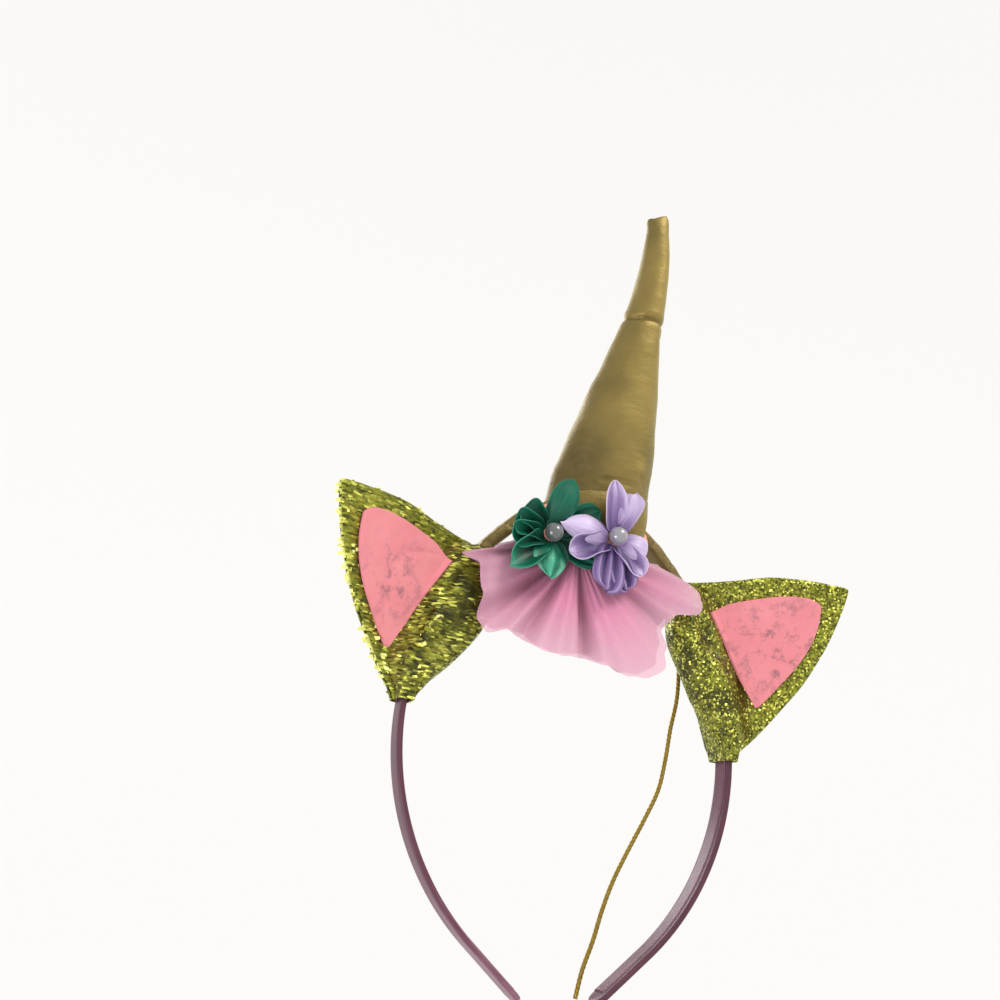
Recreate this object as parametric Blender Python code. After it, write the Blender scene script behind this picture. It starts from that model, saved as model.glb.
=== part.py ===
"""Unicorn horn headband: a satin-wrapped alice band that carries a stuffed gold horn, two glitter
ears with felt insides, a gathered tulle ruffle, two satin ribbon flowers with pearls, and a gold cord.

Metres, +Z up, as worn. +X is the side of the right-hand ear in the picture and -Y faces the viewer.
The origin is the underside of the gold wrap at the crown, where the band sits on a head.
"""
import math

import bmesh
import bpy
from mathutils import Vector

# Band: a flat strip bent along tangent arcs, each half the mirror of the other
band_width = 0.008
band_thick = 0.002
band_corner = 0.0007
crown_radius = 0.0382
crown_sweep = math.radians(43)
side_radius = 0.099
side_sweep = math.radians(34)
chin_radius = 0.079
chin_sweep = math.radians(63)
tip_run = 0.022

# Clearance kept between pieces that touch on the real thing
touch_gap = 0.0003

# Gold wrap round the crown of the band
wrap_wall = 0.001
seam_gap = 0.0005

# Stuffed horn
horn_length = 0.1055
horn_half_width = 0.0190
horn_half_depth = 0.0122
horn_lean = math.radians(18.6)
horn_aside = 0.005

# Glitter ears, whose base is folded round the band
ear_start_left = 0.0455
ear_start_right = 0.044
ear_base_left = 0.0545
ear_base_right = 0.061
ear_height = 0.055
ear_lean = math.radians(30)
ear_thick = 0.002
ear_wall = 0.0014
ear_set_back = 0.002
ear_valley = 0.0095
slack_left = 0.0125
slack_right = 0.008

# Felt insides of the ears
felt_thick = 0.0014
felt_length = 0.0325
felt_height = 0.044
felt_clearance = 0.0006
felt_inset_left = 0.0100
felt_inset_right = 0.0120

# Felt patch in front of the crown, which carries the ruffle and the flowers
backing_thick = 0.0015
backing_depth = 0.017
backing_sweep = math.radians(80)

# Tulle ruffle, a gathered fan below the flowers
tulle_wall = 0.001
ruffle_reach = 0.0475
ruffle_root = 0.006
ruffle_depth = 0.009
ruffle_centre_x = -0.005
ruffle_centre_z = -0.0145

# Ribbon flowers
petal_thick = 0.0009
petal_root = 0.0026
petal_root_half = 0.0006
petal_cup = 0.0008
petal_lift_lower = math.radians(15)
petal_lift_upper = math.radians(22)
petal_lift_low = math.radians(7)
pearl_radius = 0.003
pearl_sink = 0.0009
teal_x = -0.0169
teal_z = -0.0127
teal_length = 0.0209
teal_width = 0.0122
lilac_x = 0.0057
lilac_z = -0.0098
lilac_length = 0.0198
lilac_width = 0.0124
lilac_rise = 0.0010

# Gold cord
cord_radius = 0.00075
cord_step = 0.0037

# Horn sections: height, half width, half depth and shift to the right, as shares of the horn's own sizes
HORN_SECTIONS = (
    # height, width, depth, aside
    (0.000, 1.000, 1.00, -0.045),
    (0.085, 0.985, 0.97, -0.035),
    (0.140, 0.955, 0.97, 0.000),
    (0.210, 0.900, 0.95, 0.030),
    (0.300, 0.815, 0.90, 0.045),
    (0.390, 0.730, 0.82, 0.075),
    (0.480, 0.615, 0.74, 0.100),
    (0.560, 0.515, 0.66, 0.135),
    (0.600, 0.480, 0.60, 0.155),
    (0.625, 0.445, 0.53, 0.175),
    (0.650, 0.445, 0.58, 0.180),
    (0.710, 0.400, 0.56, 0.200),
    (0.790, 0.345, 0.50, 0.200),
    (0.870, 0.290, 0.43, 0.180),
    (0.930, 0.250, 0.36, 0.150),
    (0.975, 0.215, 0.28, 0.120),
    (1.000, 0.150, 0.18, 0.100),
)

# Ear outline along its base on the band: reach of the leaf and looseness of the fold round the band
EAR_SECTIONS = (
    # along, reach, slack
    (0.00, 0.085, 0.05),
    (0.05, 0.190, 0.16),
    (0.12, 0.390, 0.45),
    (0.17, 0.580, 0.70),
    (0.26, 0.820, 0.95),
    (0.33, 1.000, 1.00),
    (0.39, 0.925, 1.00),
    (0.47, 0.815, 0.95),
    (0.55, 0.700, 0.87),
    (0.63, 0.580, 0.76),
    (0.71, 0.450, 0.62),
    (0.79, 0.320, 0.44),
    (0.88, 0.190, 0.22),
    (0.95, 0.110, 0.09),
    (1.00, 0.085, 0.05),
)

# Felt outline: inner and outer reach as shares of the felt's height
FELT_SECTIONS = (
    # along, inner, outer
    (0.00, 0.130, 0.340),
    (0.06, 0.130, 0.560),
    (0.13, 0.135, 0.770),
    (0.22, 0.140, 0.940),
    (0.30, 0.150, 1.000),
    (0.48, 0.175, 0.895),
    (0.65, 0.205, 0.740),
    (0.83, 0.245, 0.520),
    (1.00, 0.290, 0.315),
)

# Hem of the ruffle seen from the front: direction from the gathered middle, reach and how far the
# fold comes forward, the last two as shares of the ruffle's sizes
HEM = (
    # degrees, reach, forward
    (178, 0.52, 0.10),
    (186, 0.91, 0.20),
    (199, 0.81, 0.70),
    (212, 0.84, 0.55),
    (222, 0.93, 0.00),
    (227, 0.95, 0.30),
    (233, 0.85, 0.60),
    (241, 0.79, 0.00),
    (249, 0.82, 0.65),
    (257, 0.82, 1.00),
    (265, 0.79, 0.80),
    (275, 0.76, 0.05),
    (284, 0.83, 0.70),
    (292, 0.93, 0.95),
    (300, 0.98, 1.00),
    (308, 0.99, 0.85),
    (317, 0.91, 0.45),
    (326, 0.82, 0.00),
    (334, 0.83, 0.25),
    (342, 0.99, 0.45),
    (350, 0.98, 0.20),
    (360, 0.62, 0.10),
)

# Petals: direction, length and width as shares of the flower's, layer, and whether it lies low
TEAL_PETALS = (
    # name, degrees, length, width, layer, low
    ("top", 75, 1.00, 0.80, 1, False),
    ("upper_left", 142, 0.56, 0.70, 0, False),
    ("left", 191, 0.68, 0.72, 1, False),
    ("lower_left", 227, 0.93, 0.80, 0, False),
    ("bottom", 268, 0.70, 0.95, 1, False),
    ("lower_right", 332, 0.76, 0.80, 0, True),
    ("upper_right", 38, 0.82, 0.70, 0, True),
)
LILAC_PETALS = (
    ("top", 79, 1.00, 1.00, 1, False),
    ("upper_left", 172, 0.88, 0.70, 1, False),
    ("left", 208, 0.88, 0.76, 0, False),
    ("bottom_left", 262, 0.95, 0.62, 1, False),
    ("bottom_right", 286, 0.92, 0.62, 0, False),
    ("right", 323, 0.74, 0.56, 1, False),
)

# Cord route, points chosen by hand: over the right shoulder of the crown, behind the ear, then free
CORD_ROUTE = (
    (0.0262, -0.0010, -0.0034),
    (0.0304, -0.0002, -0.0072),
    (0.0345, 0.0026, -0.0118),
    (0.0382, 0.0072, -0.0172),
    (0.0412, 0.0084, -0.0260),
    (0.0434, 0.0082, -0.0400),
    (0.0430, 0.0076, -0.0541),
    (0.0406, 0.0076, -0.0662),
    (0.0390, 0.0076, -0.0764),
    (0.0366, 0.0076, -0.0865),
    (0.0317, 0.0076, -0.0964),
    (0.0263, 0.0076, -0.1062),
    (0.0214, 0.0076, -0.1157),
    (0.0179, 0.0076, -0.1248),
    (0.0153, 0.0076, -0.1335),
    (0.0121, 0.0076, -0.1422),
    (0.0102, 0.0076, -0.1502),
)

# Sizes that follow from those above
wrap_inner_thick = band_thick / 2 + touch_gap
wrap_inner_width = band_width / 2 + touch_gap
wrap_outer_thick = wrap_inner_thick + wrap_wall
wrap_outer_width = wrap_inner_width + wrap_wall
crown_centre_z = wrap_outer_thick - crown_radius
wrap_end_left = ear_start_left - seam_gap
wrap_end_right = ear_start_right - seam_gap
crown_run = crown_radius * crown_sweep
side_run = side_radius * side_sweep
chin_run = chin_radius * chin_sweep
band_half_length = crown_run + side_run + chin_run + tip_run
backing_back = wrap_outer_width + touch_gap
backing_front = backing_back + backing_thick
ruffle_mid = backing_front + touch_gap + tulle_wall / 2
teal_base = ruffle_mid + tulle_wall / 2 + 2 * touch_gap
lilac_base = teal_base + lilac_rise
petal_layer = petal_thick + touch_gap

FRONT = Vector((0, -1, 0))

for scene_object in list(bpy.data.objects):
    bpy.data.objects.remove(scene_object, do_unlink=True)


def material(name, colour, roughness, metallic=0.0):
    """A Principled material with the sub-part's linear colour."""
    made = bpy.data.materials.new(name)
    made.use_nodes = True
    shader = made.node_tree.nodes["Principled BSDF"]
    shader.inputs["Base Color"].default_value = (*colour, 1)
    shader.inputs["Roughness"].default_value = roughness
    shader.inputs["Metallic"].default_value = metallic
    return made


SATIN = material("mauve satin", (0.22, 0.09, 0.12), 0.35)
LAME = material("gold lame", (0.30, 0.22, 0.06), 0.38, 0.6)
GLITTER = material("gold glitter fabric", (0.35, 0.36, 0.04), 0.45, 0.5)
PINK_FELT = material("pink felt", (0.85, 0.25, 0.26), 0.95)
TULLE = material("pink tulle", (0.80, 0.32, 0.48), 0.7)
TEAL = material("teal satin", (0.01, 0.16, 0.09), 0.3)
LILAC = material("lilac satin", (0.38, 0.28, 0.55), 0.3)
PEARL = material("pearl", (0.62, 0.62, 0.68), 0.2)
GOLD_CORD = material("gold cord", (0.22, 0.15, 0.02), 0.4, 0.7)


def add_part(name, mesh_builder, finish):
    """Turn a bmesh into a named object with outward faces and smooth shading."""
    bmesh.ops.recalc_face_normals(mesh_builder, faces=mesh_builder.faces)
    mesh = bpy.data.meshes.new(name)
    mesh_builder.to_mesh(mesh)
    mesh_builder.free()
    mesh.materials.append(finish)
    mesh.shade_smooth()
    mesh.set_sharp_from_angle(angle=math.radians(40))
    made = bpy.data.objects.new(name, mesh)
    bpy.context.scene.collection.objects.link(made)
    return made


def band_frame(along):
    """Point on the band's middle line and its outward direction, at a signed distance from the crown."""
    side = -1 if along < 0 else 1
    rest = abs(along)
    turn = 0.0
    centre = Vector((0, 0, crown_centre_z))
    radius = crown_radius
    bends = ((crown_radius, crown_sweep), (side_radius, side_sweep), (chin_radius, chin_sweep))
    for bend_radius, sweep in bends:
        outward = Vector((math.sin(turn), 0, math.cos(turn)))
        centre = centre + (radius - bend_radius) * outward
        radius = bend_radius
        step = min(rest, bend_radius * sweep)
        turn += step / bend_radius
        rest -= step
        if rest <= 0:
            break
    outward = Vector((math.sin(turn), 0, math.cos(turn)))
    forward = Vector((math.cos(turn), 0, -math.sin(turn)))
    point = centre + radius * outward + rest * forward
    point.x *= side
    outward.x *= side
    return point, outward


def on_band(along, out, back):
    """A place beside the band: out from its middle line, and back along +Y."""
    point, outward = band_frame(along)
    return point + out * outward + Vector((0, back, 0))


def spread(first, last, count):
    """Evenly spaced values from first to last."""
    return [first + (last - first) * i / (count - 1) for i in range(count)]


def between(table, share, column):
    """Read a table's column at a share of its first column, smoothly between rows."""
    for lower, upper in zip(table, table[1:]):
        if share <= upper[0]:
            part = (share - lower[0]) / (upper[0] - lower[0])
            ease = part * part * (3 - 2 * part)
            return lower[column] + (upper[column] - lower[column]) * ease
    return table[-1][column]


def rounded_section(half_out, half_back, corner):
    """Rounded rectangle as (out, back) pairs, three points to a corner."""
    points = []
    for sign_out, sign_back, start in ((1, 1, 0), (-1, 1, 90), (-1, -1, 180), (1, -1, 270)):
        for step in (0, 45, 90):
            angle = math.radians(start + step)
            points.append((
                sign_out * (half_out - corner) + corner * math.cos(angle),
                sign_back * (half_back - corner) + corner * math.sin(angle),
            ))
    return points


def join_rings(mesh_builder, rings):
    """Faces between successive closed rings of the same number of vertices."""
    for lower, upper in zip(rings, rings[1:]):
        for i in range(len(lower)):
            after = (i + 1) % len(lower)
            mesh_builder.faces.new((lower[i], lower[after], upper[after], upper[i]))


def cap_in_strips(mesh_builder, ring):
    """Close a ring whose two halves mirror each other, strip by strip."""
    count = len(ring)
    for i in range(count // 2):
        corners = (ring[i], ring[i + 1], ring[(count - i - 1) % count], ring[(count - i) % count])
        mesh_builder.faces.new(list(dict.fromkeys(corners)))


def close_with_hole(mesh_builder, rings):
    """Fill the flat end between an outer ring and the hole inside it."""
    edges = []
    for ring in rings:
        for i in range(len(ring)):
            edges.append(mesh_builder.edges.get((ring[i], ring[(i + 1) % len(ring)])))
    bmesh.ops.triangle_fill(mesh_builder, use_beauty=True, edges=edges)


def sheet(mesh_builder, front, back):
    """Closed sheet between two grids of points with the same rows and columns."""
    front_rows = [[mesh_builder.verts.new(p) for p in row] for row in front]
    back_rows = [[mesh_builder.verts.new(p) for p in row] for row in back]
    rows = len(front_rows)
    columns = len(front_rows[0])
    for grid in (front_rows, back_rows):
        for r in range(rows - 1):
            for c in range(columns - 1):
                mesh_builder.faces.new((grid[r][c], grid[r][c + 1], grid[r + 1][c + 1], grid[r + 1][c]))
    rim = [(0, c) for c in range(columns)]
    rim += [(r, columns - 1) for r in range(1, rows)]
    rim += [(rows - 1, c) for c in range(columns - 2, -1, -1)]
    rim += [(r, 0) for r in range(rows - 2, 0, -1)]
    for (r0, c0), (r1, c1) in zip(rim, rim[1:] + rim[:1]):
        mesh_builder.faces.new((front_rows[r0][c0], front_rows[r1][c1], back_rows[r1][c1], back_rows[r0][c0]))


def make_band():
    """The satin-wrapped strip from tip to tip, its tips rounded off."""
    builder = bmesh.new()
    section = rounded_section(band_thick / 2, band_width / 2, band_corner)
    inset = band_width / 2
    tip_steps = (0.0, 0.12, 0.45, 1.0)
    stations = []
    for step in tip_steps:
        narrow = math.sqrt(1 - (1 - step) ** 2)
        stations.append((-band_half_length + step * inset, 0.3 + 0.7 * narrow))
    inner_end = band_half_length - inset
    stations += [(along, 1.0) for along in spread(-inner_end, inner_end, 45)[1:-1]]
    stations += [(-along, narrow) for along, narrow in reversed(stations[:len(tip_steps)])]
    rings = []
    for along, narrow in stations:
        rings.append([builder.verts.new(on_band(along, out, back * narrow)) for out, back in section])
    join_rings(builder, rings)
    builder.faces.new(rings[0])
    builder.faces.new(rings[-1])
    return add_part("band", builder, SATIN)


def make_crown_wrap():
    """Gold fabric sleeve round the crown of the band, from ear to ear."""
    builder = bmesh.new()
    outer_section = rounded_section(wrap_outer_thick, wrap_outer_width, band_corner + wrap_wall)
    inner_section = rounded_section(wrap_inner_thick, wrap_inner_width, band_corner)
    outer_rings = []
    inner_rings = []
    for along in spread(-wrap_end_left, wrap_end_right, 23):
        outer_rings.append([builder.verts.new(on_band(along, *place)) for place in outer_section])
        inner_rings.append([builder.verts.new(on_band(along, *place)) for place in inner_section])
    join_rings(builder, outer_rings)
    join_rings(builder, inner_rings)
    for end in (0, -1):
        join_rings(builder, [outer_rings[end], inner_rings[end]])
    return add_part("crown_wrap", builder, LAME)


def make_horn():
    """Stuffed horn whose open seam sits astride the crown, creased across two thirds of the way up."""
    builder = bmesh.new()
    axis = Vector((0, -math.sin(horn_lean), math.cos(horn_lean)))
    across = Vector((1, 0, 0))
    depth = Vector((0, math.cos(horn_lean), math.sin(horn_lean)))
    foot = Vector((horn_aside, 0, wrap_outer_thick * 2 + touch_gap))
    seat_radius = crown_radius + wrap_outer_thick + touch_gap
    count = 24

    def ring_point(turn, height, width, thick, aside):
        shift = horn_half_width * aside
        return (foot + axis * (horn_length * height)
                + across * (shift + horn_half_width * width * math.cos(turn))
                + depth * (horn_half_depth * thick * math.sin(turn)))

    turns = [2 * math.pi * i / count for i in range(count)]
    seat = []
    for turn in turns:
        point = ring_point(turn, *HORN_SECTIONS[0])
        seat_z = crown_centre_z + math.sqrt(seat_radius ** 2 - point.x ** 2)
        point += axis * ((seat_z - point.z) / axis.z)
        seat.append(builder.verts.new(point))
    rings = [seat]
    for height, width, thick, aside in HORN_SECTIONS[1:]:
        rings.append([builder.verts.new(ring_point(turn, height, width, thick, aside)) for turn in turns])
    join_rings(builder, rings)
    cap_in_strips(builder, rings[0])
    cap_in_strips(builder, rings[-1])
    return add_part("horn", builder, LAME)


def ear_plate(reach, face):
    """Place on the leaf of an ear, as (out, back): face is +1 on its front and -1 on its back."""
    half = face * ear_thick / 2
    out = reach * math.cos(ear_lean) - half * math.sin(ear_lean)
    back = ear_set_back - reach * math.sin(ear_lean) - half * math.cos(ear_lean)
    return out, back


def ear_ridge():
    """Outer front corner of the fold round the band, as (out, back)."""
    return wrap_inner_thick + 0.7 * ear_wall, -(wrap_inner_width + ear_wall)


def ear_sections(reach, slack):
    """Outer loop and hole of an ear at one station of the band, as (out, back) pairs."""
    hole_out = wrap_inner_thick
    hole_back = wrap_inner_width
    slim = slack / (slack + hole_back)
    middle_back = hole_back * (1 - 0.45 * slim)
    inner_back = hole_back * (1 - 0.85 * slim)
    shortest = ear_thick + wrap_inner_thick + ear_wall
    full = min(max((reach - shortest) / ear_valley, 0), 1)
    valley = shortest * 0.8 + (ear_valley - shortest * 0.8) * full
    leaf = [valley + (max(reach, shortest) - valley) * share for share in (0, 0.35, 0.7, 1)]
    outer = [
        (-hole_out - slack - ear_wall, -inner_back - 0.4 * ear_wall),
        (-hole_out - 0.6 * slack - 0.5 * ear_wall, -middle_back - ear_wall),
        (-hole_out, -hole_back - ear_wall),
        ear_ridge(),
    ]
    outer += [ear_plate(r, 1) for r in leaf]
    outer += [ear_plate(r, -1) for r in reversed(leaf)]
    outer += [
        (hole_out + 0.7 * ear_wall, hole_back + ear_wall),
        (-hole_out, hole_back + ear_wall),
        (-hole_out - 0.6 * slack - 0.5 * ear_wall, middle_back + ear_wall),
        (-hole_out - slack - ear_wall, inner_back + 0.4 * ear_wall),
    ]
    hole = [
        (-hole_out - slack, -inner_back),
        (-hole_out - 0.6 * slack, -middle_back),
        (-hole_out, -hole_back),
        (hole_out, -hole_back),
        (hole_out, hole_back),
        (-hole_out, hole_back),
        (-hole_out - 0.6 * slack, middle_back),
        (-hole_out - slack, inner_back),
    ]
    return outer, hole


def make_ear(name, side, start, base, slack):
    """Glitter fabric leaf with its base folded loosely round the band."""
    builder = bmesh.new()
    outer_rings = []
    hole_rings = []
    for share, reach, loose in EAR_SECTIONS:
        along = side * (start + base * share)
        outer, hole = ear_sections(ear_height * reach, slack * loose)
        outer_rings.append([builder.verts.new(on_band(along, *place)) for place in outer])
        hole_rings.append([builder.verts.new(on_band(along, *place)) for place in hole])
    join_rings(builder, outer_rings)
    join_rings(builder, hole_rings)
    for end in (0, -1):
        close_with_hole(builder, (outer_rings[end], hole_rings[end]))
    return add_part(name, builder, GLITTER)


def make_ear_felt(name, side, start):
    """Pink felt leaf glued on the front of an ear; its root bends up over the valley."""
    builder = bmesh.new()
    ridge_out, ridge_back = ear_ridge()
    valley_out, valley_back = ear_plate(ear_valley, 1)
    normal_out = -math.sin(ear_lean)
    normal_back = -math.cos(ear_lean)
    front = []
    back = []
    for share, inner, outer in FELT_SECTIONS:
        along = side * (start + felt_length * share)
        lower_row = []
        upper_row = []
        for reach in spread(felt_height * inner, felt_height * outer, 7):
            out, depth = ear_plate(reach, 1)
            if reach < ear_valley:
                part = reach / ear_valley
                out = ridge_out + (valley_out - ridge_out) * part
                depth = ridge_back + (valley_back - ridge_back) * part
            for row, lift in ((lower_row, felt_clearance), (upper_row, felt_clearance + felt_thick)):
                row.append(on_band(along, out + lift * normal_out, depth + lift * normal_back))
        back.append(lower_row)
        front.append(upper_row)
    sheet(builder, front, back)
    return add_part(name, builder, PINK_FELT)


def make_backing():
    """Felt strip in front of the crown, curved like it, with round ends."""
    builder = bmesh.new()
    outer_radius = crown_radius + band_thick / 2
    middle_radius = outer_radius - backing_depth / 2
    end_sweep = backing_sweep / 2 - backing_depth / 2 / middle_radius
    rows = []
    for angle in spread(-end_sweep, end_sweep, 17):
        rows.append((angle, 1.0))
    for share in (0.45, 0.8, 0.97):
        narrow = math.sqrt(1 - share ** 2)
        reach = share * backing_depth / 2 / middle_radius
        rows.append((end_sweep + reach, narrow))
        rows.insert(0, (-end_sweep - reach, narrow))
    front = []
    back = []
    for angle, narrow in rows:
        outward = Vector((math.sin(angle), 0, math.cos(angle)))
        centre = Vector((0, 0, crown_centre_z)) + middle_radius * outward
        places = [centre + outward * (backing_depth / 2 * narrow * share) for share in (-1, 0, 1)]
        front.append([p + FRONT * backing_front for p in places])
        back.append([p + FRONT * backing_back for p in places])
    sheet(builder, front, back)
    return add_part("flower_backing", builder, PINK_FELT)


def make_ruffle():
    """Gathered tulle that fans out below the flowers, its folds deeper toward the hem."""
    builder = bmesh.new()
    front = []
    back = []
    first, last = HEM[0][0], HEM[-1][0]
    for degrees in spread(first, last, 55):
        angle = math.radians(degrees)
        direction = Vector((math.cos(angle), 0, math.sin(angle)))
        reach = ruffle_reach * between(HEM, degrees, 1)
        fold = ruffle_depth * between(HEM, degrees, 2)
        front_row = []
        back_row = []
        for share in (0.0, 0.2, 0.42, 0.66, 0.86, 1.0):
            centre = Vector((ruffle_centre_x, 0, ruffle_centre_z))
            place = centre + direction * (ruffle_root + (reach - ruffle_root) * share)
            forward = ruffle_mid + fold * share ** 0.85
            front_row.append(place + FRONT * (forward + tulle_wall / 2))
            back_row.append(place + FRONT * (forward - tulle_wall / 2))
        front.append(front_row)
        back.append(back_row)
    sheet(builder, front, back)
    return add_part("tulle_ruffle", builder, TULLE)


def make_petal(name, centre, degrees, length, width, base, lift, finish):
    """Pointed ribbon petal, cupped toward the viewer and lifting away from the root."""
    builder = bmesh.new()
    angle = math.radians(degrees)
    outward = Vector((math.cos(angle), 0, math.sin(angle)))
    across = Vector((-math.sin(angle), 0, math.cos(angle)))
    front = []
    back = []
    for share in spread(0, 1, 7):
        reach = petal_root + (length - petal_root) * share
        half = width / 2 * math.sin(math.pi * min(share, 0.97)) ** 0.75 + petal_root_half * (1 - share)
        front_row = []
        back_row = []
        for place in (-1, -0.5, 0, 0.5, 1):
            point = centre + outward * reach + across * (place * half)
            rise = base + reach * math.tan(lift) + petal_cup * place ** 2 * math.sin(math.pi * share)
            front_row.append(point + FRONT * (rise + petal_thick))
            back_row.append(point + FRONT * rise)
        front.append(front_row)
        back.append(back_row)
    sheet(builder, front, back)
    return add_part(name, builder, finish)


def make_flower(name, centre, petals, length, width, base, finish):
    """Ribbon flower in two layers of petals with a pearl in the middle."""
    for petal, degrees, long_share, wide_share, layer, low in petals:
        lift = petal_lift_upper if layer else petal_lift_lower
        if low:
            lift = petal_lift_low
        make_petal(f"{name}_petal_{petal}", centre, degrees, length * long_share, width * wide_share,
                   base + petal_layer * layer, lift, finish)
    builder = bmesh.new()
    bmesh.ops.create_uvsphere(builder, u_segments=12, v_segments=8, radius=pearl_radius)
    root_front = base + petal_layer + petal_root * math.tan(petal_lift_upper) + petal_thick
    pearl = add_part(f"{name}_pearl", builder, PEARL)
    pearl.location = centre + FRONT * (root_front + pearl_radius - pearl_sink)
    return pearl


def smooth_route(points, step):
    """Points at even steps along a smooth curve through the route's own points."""
    route = [Vector(p) for p in points]
    ends = [2 * route[0] - route[1]] + route + [2 * route[-1] - route[-2]]
    fine = []
    for a, b, c, d in zip(ends, ends[1:], ends[2:], ends[3:]):
        for i in range(12):
            t = i / 12
            fine.append(0.5 * (2 * b + (c - a) * t + (2 * a - 5 * b + 4 * c - d) * t ** 2
                               + (3 * b - a - 3 * c + d) * t ** 3))
    fine.append(route[-1])
    lengths = [0.0]
    for p, q in zip(fine, fine[1:]):
        lengths.append(lengths[-1] + (q - p).length)
    count = round(lengths[-1] / step)
    even = []
    index = 0
    for i in range(count + 1):
        target = lengths[-1] * i / count
        while index < len(fine) - 2 and lengths[index + 1] < target:
            index += 1
        span = lengths[index + 1] - lengths[index]
        even.append(fine[index].lerp(fine[index + 1], (target - lengths[index]) / span))
    return even


def make_cord():
    """Thin gold cord over the right shoulder and down behind the band, ending where the picture does."""
    points = smooth_route(CORD_ROUTE, cord_step)
    curve = bpy.data.curves.new("gold_cord", "CURVE")
    curve.dimensions = "3D"
    curve.bevel_depth = cord_radius
    curve.bevel_resolution = 2
    curve.use_fill_caps = True
    spline = curve.splines.new("POLY")
    spline.points.add(len(points) - 1)
    for spot, point in zip(spline.points, points):
        spot.co = (*point, 1)
    curve.materials.append(GOLD_CORD)
    cord = bpy.data.objects.new("gold_cord", curve)
    bpy.context.scene.collection.objects.link(cord)
    return cord


make_band()
make_crown_wrap()
make_horn()
make_ear("ear_left", -1, ear_start_left, ear_base_left, slack_left)
make_ear("ear_right", 1, ear_start_right, ear_base_right, slack_right)
make_ear_felt("ear_felt_left", -1, ear_start_left + felt_inset_left)
make_ear_felt("ear_felt_right", 1, ear_start_right + felt_inset_right)
make_backing()
make_ruffle()
make_flower("teal", Vector((teal_x, 0, teal_z)), TEAL_PETALS, teal_length, teal_width, teal_base, TEAL)
make_flower("lilac", Vector((lilac_x, 0, lilac_z)), LILAC_PETALS, lilac_length, lilac_width, lilac_base, LILAC)
make_cord()
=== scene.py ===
# %% [markdown]
# # Dressing a unicorn horn headband
# The real thing is a springy strip wound in satin ribbon. It carries a stuffed horn of gold lame,
# two glitter ears with felt insides, a gathered tulle ruffle, two ribbon flowers with pearls and a
# loose gold cord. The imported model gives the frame, and every piece here is made over its solid.

# %% Load the frame
import math
import random

import bmesh
import bpy
from mathutils import Matrix, Vector, noise


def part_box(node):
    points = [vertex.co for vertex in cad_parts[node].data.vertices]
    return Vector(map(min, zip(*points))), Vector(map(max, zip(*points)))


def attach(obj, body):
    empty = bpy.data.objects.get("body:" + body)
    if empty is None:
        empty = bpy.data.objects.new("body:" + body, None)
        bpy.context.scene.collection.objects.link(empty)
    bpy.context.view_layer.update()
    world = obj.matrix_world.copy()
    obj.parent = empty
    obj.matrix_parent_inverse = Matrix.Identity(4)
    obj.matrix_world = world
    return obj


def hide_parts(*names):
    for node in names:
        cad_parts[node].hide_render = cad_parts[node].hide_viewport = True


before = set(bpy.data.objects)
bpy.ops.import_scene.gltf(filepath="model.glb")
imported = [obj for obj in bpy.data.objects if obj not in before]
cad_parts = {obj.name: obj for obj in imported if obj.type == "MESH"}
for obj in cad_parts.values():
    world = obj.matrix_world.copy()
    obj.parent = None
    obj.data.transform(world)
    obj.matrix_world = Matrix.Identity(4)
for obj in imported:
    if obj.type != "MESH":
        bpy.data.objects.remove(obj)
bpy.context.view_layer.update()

# %% [markdown]
# ## The camera
# The photograph looks up at the band from its lower left, 20 degrees round and 20 degrees below,
# with the picture tilted a little. The three axes of the camera are worked out from those angles,
# and its matrix is written from them, because that keeps the tilt exact.

# %% Camera
camera_place = Vector((-0.1383, -0.2943, -0.1144))
camera_turn = math.radians(20)
camera_rise = math.radians(20)
camera_roll = math.radians(5.229)

camera_data = bpy.data.cameras.new("camera")
camera_data.sensor_width = 36
camera_data.lens = 36
camera_data.clip_start = 0.01
camera = bpy.data.objects.new("camera", camera_data)
bpy.context.scene.collection.objects.link(camera)
backward = Vector((-math.sin(camera_turn) * math.cos(camera_rise),
                   -math.cos(camera_turn) * math.cos(camera_rise), -math.sin(camera_rise)))
level = Vector((math.cos(camera_turn), -math.sin(camera_turn), 0))
upright = backward.cross(level)
rightward = level * math.cos(camera_roll) + upright * math.sin(camera_roll)
upward = upright * math.cos(camera_roll) - level * math.sin(camera_roll)
turned = Matrix((rightward, upward, backward)).transposed().to_4x4()
camera.matrix_world = Matrix.Translation(camera_place) @ turned
bpy.context.scene.camera = camera
print("camera at", [round(c, 3) for c in camera_place])

# %% [markdown]
# ## A small kit for materials
# Hex colours are what a picture shows, and shaders work in linear light, so one function turns
# them. Another adds a node with its settings and its inputs, which are numbers or other nodes'
# outputs. The rest return one output each: a mix of colours, a stretched range, a sum, noise of a
# real size or a bump. Every finish below is built from these.

# %% Helpers for materials
def linear(code):
    """Linear colour of an sRGB hex code."""
    shares = [int(code[i:i + 2], 16) / 255 for i in (0, 2, 4)]
    return tuple(s / 12.92 if s <= 0.04045 else ((s + 0.055) / 1.055) ** 2.4 for s in shares) + (1.0,)


def add_node(tree, kind, inputs, **settings):
    """Add a node, set its own settings, and give its inputs values or links."""
    made = tree.nodes.new("ShaderNode" + kind)
    for name, value in settings.items():
        setattr(made, name, value)
    for name, value in inputs.items():
        if isinstance(value, bpy.types.NodeSocket):
            tree.links.new(value, made.inputs[name])
        else:
            made.inputs[name].default_value = value
    return made


def new_material(name, **values):
    """A Principled material with plain values on its shader, returned with its tree and shader."""
    made = bpy.data.materials.new(name)
    made.use_nodes = True
    shader = made.node_tree.nodes["Principled BSDF"]
    for socket, value in values.items():
        shader.inputs[socket.replace("_", " ")].default_value = value
    return made, made.node_tree, shader


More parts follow.
